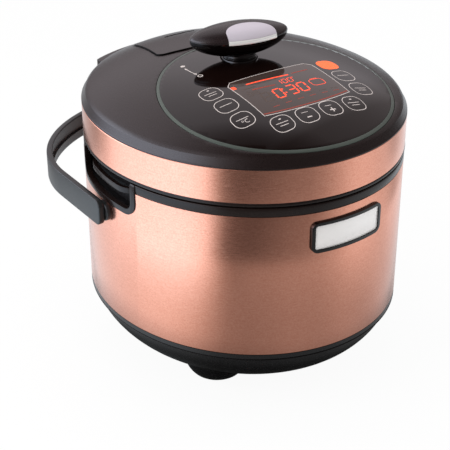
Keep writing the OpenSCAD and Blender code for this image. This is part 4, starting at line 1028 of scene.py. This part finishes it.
hingeFoot, hingeTop = heights("hinge_cover")
hingePiece = cutter(ovalRing([(0.05, hingeFoot), (0.05, hingeTop), (-hinge["out"], hingeTop),
                              (-hinge["out"], hingeFoot)]))
combine(hingePiece, "INTERSECT", backBlock(hinge["x"], hinge["front"], hingeFoot - 1, hingeTop + 1))
soften(hingePiece, hinge["round"], 5, 60, 40)
innerOut, innerTop = hinge["wall"] - hinge["out"], hingeTop - hinge["wall"]
hollow = cutter(ovalRing([(-0.05, hingeFoot - 1), (-0.05, innerTop), (innerOut, innerTop),
                          (innerOut, hingeFoot - 1)]))
combine(hollow, "INTERSECT", backBlock(hinge["x"] - hinge["wall"], hinge["front"], hingeFoot - 2, hingeTop))
combine(hingePiece, "DIFFERENCE", hollow)
settle(hingePiece, "hingeCover", lidAbs, "lid", "lid_plastic", "hinge_cover")
print("hinge cover made")


# knob

knob = {"length": 88, "width": 42.5, "up": 10.5, "down": 17, "turn": -12.5, "neck": 15, "bore": 8,
        "point": 0.18, "inlayWide": 44.8, "inlayDeep": 12.8, "inlayX": 5.5, "inlayY": -14, "lip": 2.4,
        "lipDrop": 1.2}

knob["z"] = heights("knob_upper")[0]
knobTurn = Matrix.Translation((0, axisY * mm, 0)) @ Matrix.Rotation(math.radians(knob["turn"]), 4, "Z")


def knobHalf(up, rings=18, around=120):
    # half of the pointed, rounded body: a circle extruded upwards in rings, then shaped
    bm = bmesh.new()
    bmesh.ops.create_circle(bm, segments=around, radius=1)
    first = last = list(bm.edges)
    for k in range(1, rings):
        new = bmesh.ops.extrude_edge_only(bm, edges=last)["geom"]
        t0, t1 = math.radians(90 * (k - 1) / rings), math.radians(90 * k / rings)
        for v in [g for g in new if isinstance(g, bmesh.types.BMVert)]:
            v.co.x *= math.cos(t1) / math.cos(t0)
            v.co.y *= math.cos(t1) / math.cos(t0)
            v.co.z = math.sin(t1)
        last = [g for g in new if isinstance(g, bmesh.types.BMEdge)]
    bmesh.ops.holes_fill(bm, edges=last, sides=0)
    bmesh.ops.holes_fill(bm, edges=first, sides=0)
    halfLong, halfWide, height = knob["length"] / 2, knob["width"] / 2, knob["up"] if up else -knob["down"]
    for v in bm.verts:
        q = math.hypot(v.co.x, v.co.y)
        pinch = (abs(v.co.y) / q if q > 1e-9 else 0) ** knob["point"]
        v.co = Vector((halfLong * v.co.x, halfWide * v.co.y * pinch, height * v.co.z)) * mm
        v.co.z += knob["z"] * mm
    bmesh.ops.transform(bm, matrix=knobTurn, verts=bm.verts)
    return cutter(bm)


def knobSpun(profile, steps):
    # a form spun on the knob's own axis
    bm = bmesh.new()
    spun(bm, profile, steps)
    bmesh.ops.translate(bm, verts=bm.verts, vec=(0, axisY * mm, 0))
    return cutter(bm)


def inlayCut(inset, low=-1, high=30):
    # the inlay's outline, from outside the knob to its rounded end, between two heights from the knob's middle
    rx, ry = knob["inlayWide"] / 2 - inset, knob["inlayDeep"] - inset
    x0, y0 = knob["inlayX"], knob["inlayY"]
    outline = [(x0 - rx, -knob["width"]), (x0 + rx, -knob["width"])]
    outline += [(x0 + rx * math.cos(math.pi * k / 48), y0 + ry * math.sin(math.pi * k / 48)) for k in range(49)]
    return cutter(prism(outline, knob["z"] + low, knob["z"] + high, knobTurn))


lowerPiece = knobHalf(False)
neckLow, neckTop = heights("knob_lower")[0], knob["z"] - 4
neckSteps = ((0, 0.9), (0.4, 1.3), (1.2, 1.5), (1.4, 2.6), (0.6, 3.2), (0.8, 4.6), (2, 6))     # draw, up
neck = [(knob["neck"] - draw, coverTop + up) for draw, up in neckSteps]
neck = [(0.01, neckLow), (knob["neck"], neckLow)] + neck + [(knob["neck"] - 2, neckTop), (0.01, neckTop)]
combine(lowerPiece, "UNION", knobSpun(neck, 96))
boreLow, boreTop = neckLow - 5, knob["z"] - 2
combine(lowerPiece, "DIFFERENCE", knobSpun([(0.01, boreLow), (knob["bore"], boreLow), (knob["bore"], boreTop),
                                            (0.01, boreTop)], 64))
combine(lowerPiece, "DIFFERENCE", inlayCut(0, -knob["lipDrop"], 5))
soften(lowerPiece, 0.35, 3, 50, 45)
upperPiece = knobHalf(True)
combine(upperPiece, "DIFFERENCE", inlayCut(0))
soften(upperPiece, 0.45, 3, 50, 45)
inlayPiece = knobHalf(True)
combine(inlayPiece, "INTERSECT", inlayCut(0.1, knob["lip"] + 0.25))
soften(inlayPiece, 0.3, 3, 40, 35)
lipPart = knobHalf(True)
combine(lipPart, "UNION", knobHalf(False))
combine(lipPart, "INTERSECT", inlayCut(0.1, 0.1 - knob["lipDrop"], knob["lip"]))
soften(lipPart, 0.25, 3, 40, 35)
settle(lowerPiece, "knobLower", knobBlack, "lock", "knob_gloss", "knob_lower")
settle(upperPiece, "knobUpper", knobBrown, "lock", "knob_brown", "knob_upper")
settle(inlayPiece, "knobInlay", inlayPaintedSheen, "lock", "inlay_silver", "knob_inlay")
settle(lipPart, "knobLip", lipPaintedHighlight, "lock", "inlay_silver", "knob_inlay")
print("knob made")


# studio

studio = {"floor": 3.0, "worldDiffuse": 0.78, "floorShade": 0.06, "warm": (1.1, 0.97, 0.97, 1),
          "nearToFar": (0.22, 0.46), "band": (0.495, 0.515), "under": (0.13, 0.2), "paintedShadowDark": 0.08}

floorBm = bmesh.new()
bmesh.ops.create_grid(floorBm, x_segments=1, y_segments=1, size=studio["floor"])
floor = made(floorBm, "floor")

# matt white paper: the eye sees it white with a faint shadow. Gloss sees the studio's cards lying on it: white
# to the left, dark in front, half-bright to the right, dimmer close to the object, painted shadow under it
floorMat, floorShader = start("whitePaperFloor", Roughness=0.9)
floorShader.inputs["Base Color"].default_value = (0.9, 0.9, 0.9, 1)
floorShader.inputs["Specular IOR Level"].default_value = 0
floor.data.materials.append(floorMat)


def compass(mat, vector):
    # share of the way round, from the left by the front, the right and the back
    parts = add(mat, "SeparateXYZ", {"Vector": vector}).outputs
    angle = add(mat, "Math", {0: parts["Y"], 1: parts["X"]}, operation="ARCTAN2").outputs[0]
    share = add(mat, "MapRange", {"Value": angle}, {"From Min": -math.pi, "From Max": math.pi})
    return parts, share.outputs["Result"]


def cards(mat, around, *stops):
    # brightness round the object, from (share, value) stops; the brighter a card, the cooler its tone. The ramp
    # holds a quarter of each value
    tones = []
    for at, value in stops:
        cool = 0.05 * min(value, 2) ** 2
        tones.append((at, (value / 4 * (1 - cool), value / 4, value / 4 * (1 + cool), 1)))
    ring = add(mat, "ValToRGB", {"Fac": around}, stops=tones).outputs["Color"]
    return add(mat, "VectorMath", {0: ring}, {3: 4}, operation="SCALE").outputs[0]


def greys(*stops):
    # ramp stops of one grey each
    return [(at, (value, value, value, 1)) for at, value in stops]


def blend(mat, source, low, high, near, far):
    # near below low, far above high, and a mix of them between
    share = add(mat, "MapRange", {"Value": source}, {"From Min": low, "From Max": high}).outputs["Result"]
    return add(mat, "Mix", {0: share, 6: near, 7: far}, data_type="RGBA").outputs[2]


def rays(mat):
    # 1 for gloss, and 1 where the eye sees the surface itself, straight or through glass
    path = add(mat, "LightPath").outputs
    direct = add(mat, "Math", {0: path["Is Camera Ray"], 1: path["Is Transmission Ray"]}, operation="MAXIMUM")
    return path["Is Glossy Ray"], direct.outputs[0]


onFloor = add(floorMat, "TexCoord").outputs["Object"]
aroundFloor = compass(floorMat, onFloor)[1]
far = add(floorMat, "VectorMath", {0: onFloor}, operation="LENGTH").outputs["Value"]
nearCards = cards(
    floorMat, aroundFloor, (0, 1.12), (0.03, 1.08), (0.05, 0.97), (0.073, 0.78), (0.096, 0.54),
    (0.12, 0.34), (0.15, 0.3), (0.18, 0.32), (0.21, 0.36), (0.26, 0.37), (0.3, 0.45), (0.35, 0.48),
    (0.4, 0.62), (0.5, 0.75), (0.7, 0.95), (0.88, 1.0), (0.95, 1.05), (1, 1.12))
farCards = cards(
    floorMat, aroundFloor, (0, 1.98), (0.034, 1.93), (0.055, 1.78), (0.072, 1.45), (0.089, 0.9),
    (0.105, 0.42), (0.125, 0.3), (0.15, 0.38), (0.18, 0.41), (0.21, 0.45), (0.24, 0.48), (0.27, 0.53),
    (0.3, 0.66), (0.325, 0.86), (0.35, 0.95), (0.39, 0.87), (0.42, 0.8), (0.45, 0.95), (0.5, 1.0),
    (0.58, 0.8), (0.8, 0.8), (0.87, 1.2), (0.91, 1.7), (0.95, 1.92), (1, 1.98))
bandCards = cards(
    floorMat, aroundFloor, (0, 1.9), (0.03, 1.88), (0.052, 1.75), (0.07, 1.5), (0.087, 0.6), (0.1, 0.2),
    (0.115, 0.13), (0.15, 0.12), (0.185, 0.18), (0.215, 0.24), (0.25, 0.28), (0.28, 0.4), (0.31, 0.62),
    (0.34, 0.84), (0.37, 0.92), (0.4, 0.84), (0.435, 0.76), (0.47, 0.5), (0.5, 0.75), (0.55, 1.0),
    (0.7, 0.9), (0.83, 0.4), (0.86, 0.8), (0.89, 1.55), (0.92, 1.75), (1, 1.9))
nearToFar = blend(floorMat, far, *studio["nearToFar"], nearCards, farCards)
cardLight = blend(floorMat, far, *studio["band"], nearToFar, bandCards)
# darker right under the object: a painted shadow, seen only by gloss
paintedShadowUnder = add(floorMat, "MapRange", {"Value": far}, {
    "From Min": studio["under"][0], "From Max": studio["under"][1], "To Min": studio["paintedShadowDark"]})
lying = add(floorMat, "VectorMath", {0: cardLight, 3: paintedShadowUnder.outputs["Result"]}, operation="SCALE")
glossy, direct = rays(floorMat)
paper = add(floorMat, "Emission", values={"Color": (1, 1, 1, 1), "Strength": 1}).outputs[0]
share = add(floorMat, "Math", {0: direct}, {1: 1 - studio["floorShade"]}, operation="MULTIPLY").outputs[0]
shaded = add(floorMat, "MixShader", {0: share, 1: floorShader.outputs[0], 2: paper}).outputs[0]
mirrored = add(floorMat, "Emission", {"Color": lying.outputs[0]}).outputs[0]
whole = add(floorMat, "MixShader", {0: glossy, 1: shaded, 2: mirrored}).outputs[0]
floorMat.node_tree.links.new(whole, floorMat.node_tree.nodes["Material Output"].inputs["Surface"])

world = bpy.data.worlds.new("studio")
scene.world = world
world.use_nodes = True
direction = add(world, "TexCoord").outputs["Generated"]
xyz, around = compass(world, direction)
# above the paper: soft light at the left and back, dark to the front, the right and overhead, a little warm
high = cards(
    world, around, (0, 1.2), (0.05, 0.9), (0.08, 0.5), (0.12, 0.25), (0.15, 0.1), (0.2, 0.1), (0.4, 0.2),
    (0.5, 0.45), (0.57, 0.5), (0.582, 0.7), (0.6, 0.95), (0.66, 0.88), (0.72, 1.0), (0.765, 1.05),
    (0.81, 1.2), (0.9, 1.25), (1, 1.2))
rise = add(world, "ValToRGB", {"Fac": xyz["Z"]}, stops=greys(
    (0, 0.28), (0.1, 0.43), (0.2, 0.6), (0.3, 0.88), (0.45, 0.97), (0.75, 0.97), (0.85, 0.9), (0.92, 0.4),
    (0.96, 0.2), (1, 0.04))).outputs["Color"]
# one bright strip of a softbox at the left, half-way up
strip = cards(
    world, around, (0, 2.6), (0.03, 2.2), (0.06, 0.8), (0.09, 0), (0.78, 0), (0.84, 2.4), (0.9, 2.8),
    (1, 2.6))
stripRise = add(world, "ValToRGB", {"Fac": xyz["Z"]},
                stops=greys((0.05, 0), (0.15, 1), (0.56, 1), (0.64, 0))).outputs["Color"]
wholly = {"data_type": "RGBA", "blend_type": "MULTIPLY"}
skyLight = add(world, "Mix", {6: high, 7: rise}, {0: 1.0}, **wholly).outputs[2]
stripLight = add(world, "Mix", {6: strip, 7: stripRise}, {0: 1.0}, **wholly).outputs[2]
both = add(world, "Mix", {6: skyLight, 7: stripLight}, {0: 1.0}, data_type="RGBA", blend_type="ADD").outputs[2]
warm = add(world, "Mix", {6: both}, {0: 1.0, 7: studio["warm"]}, **wholly).outputs[2]
glossy, direct = rays(world)
even = (studio["worldDiffuse"],) * 3 + (1,)
mirroredSky = add(world, "Mix", {0: glossy, 7: warm}, {6: even}, data_type="RGBA").outputs[2]
sky = add(world, "Mix", {0: direct, 6: mirroredSky}, {7: (1, 1, 1, 1)}, data_type="RGBA").outputs[2]
world.node_tree.links.new(sky, world.node_tree.nodes["Background"].inputs["Color"])


def softbox(name, place, aim, size, power):
    # a square area lamp in metres and watts, turned towards aim
    data = bpy.data.lights.new(name, "AREA")
    data.shape = "SQUARE"
    data.size = size
    data.energy = power
    lamp = bpy.data.objects.new(name, data)
    scene.collection.objects.link(lamp)
    lamp.location = place
    lamp.rotation_euler = (Vector(aim) - Vector(place)).to_track_quat("-Z", "Y").to_euler()
    lamp.visible_glossy = False     # gloss shows the cards, not the lamps


softbox("keyLeft", (-1.25, 0.1, 0.8), (0, 0, 0.12), 0.9, 9)
softbox("fillRight", (1.2, -0.5, 0.8), (0, 0, 0.15), 0.8, 3)
softbox("topSoft", (-0.1, 0.4, 1.4), (0, 0, 0.2), 0.9, 4)

scene.view_settings.view_transform = "Standard"
print("studio made")
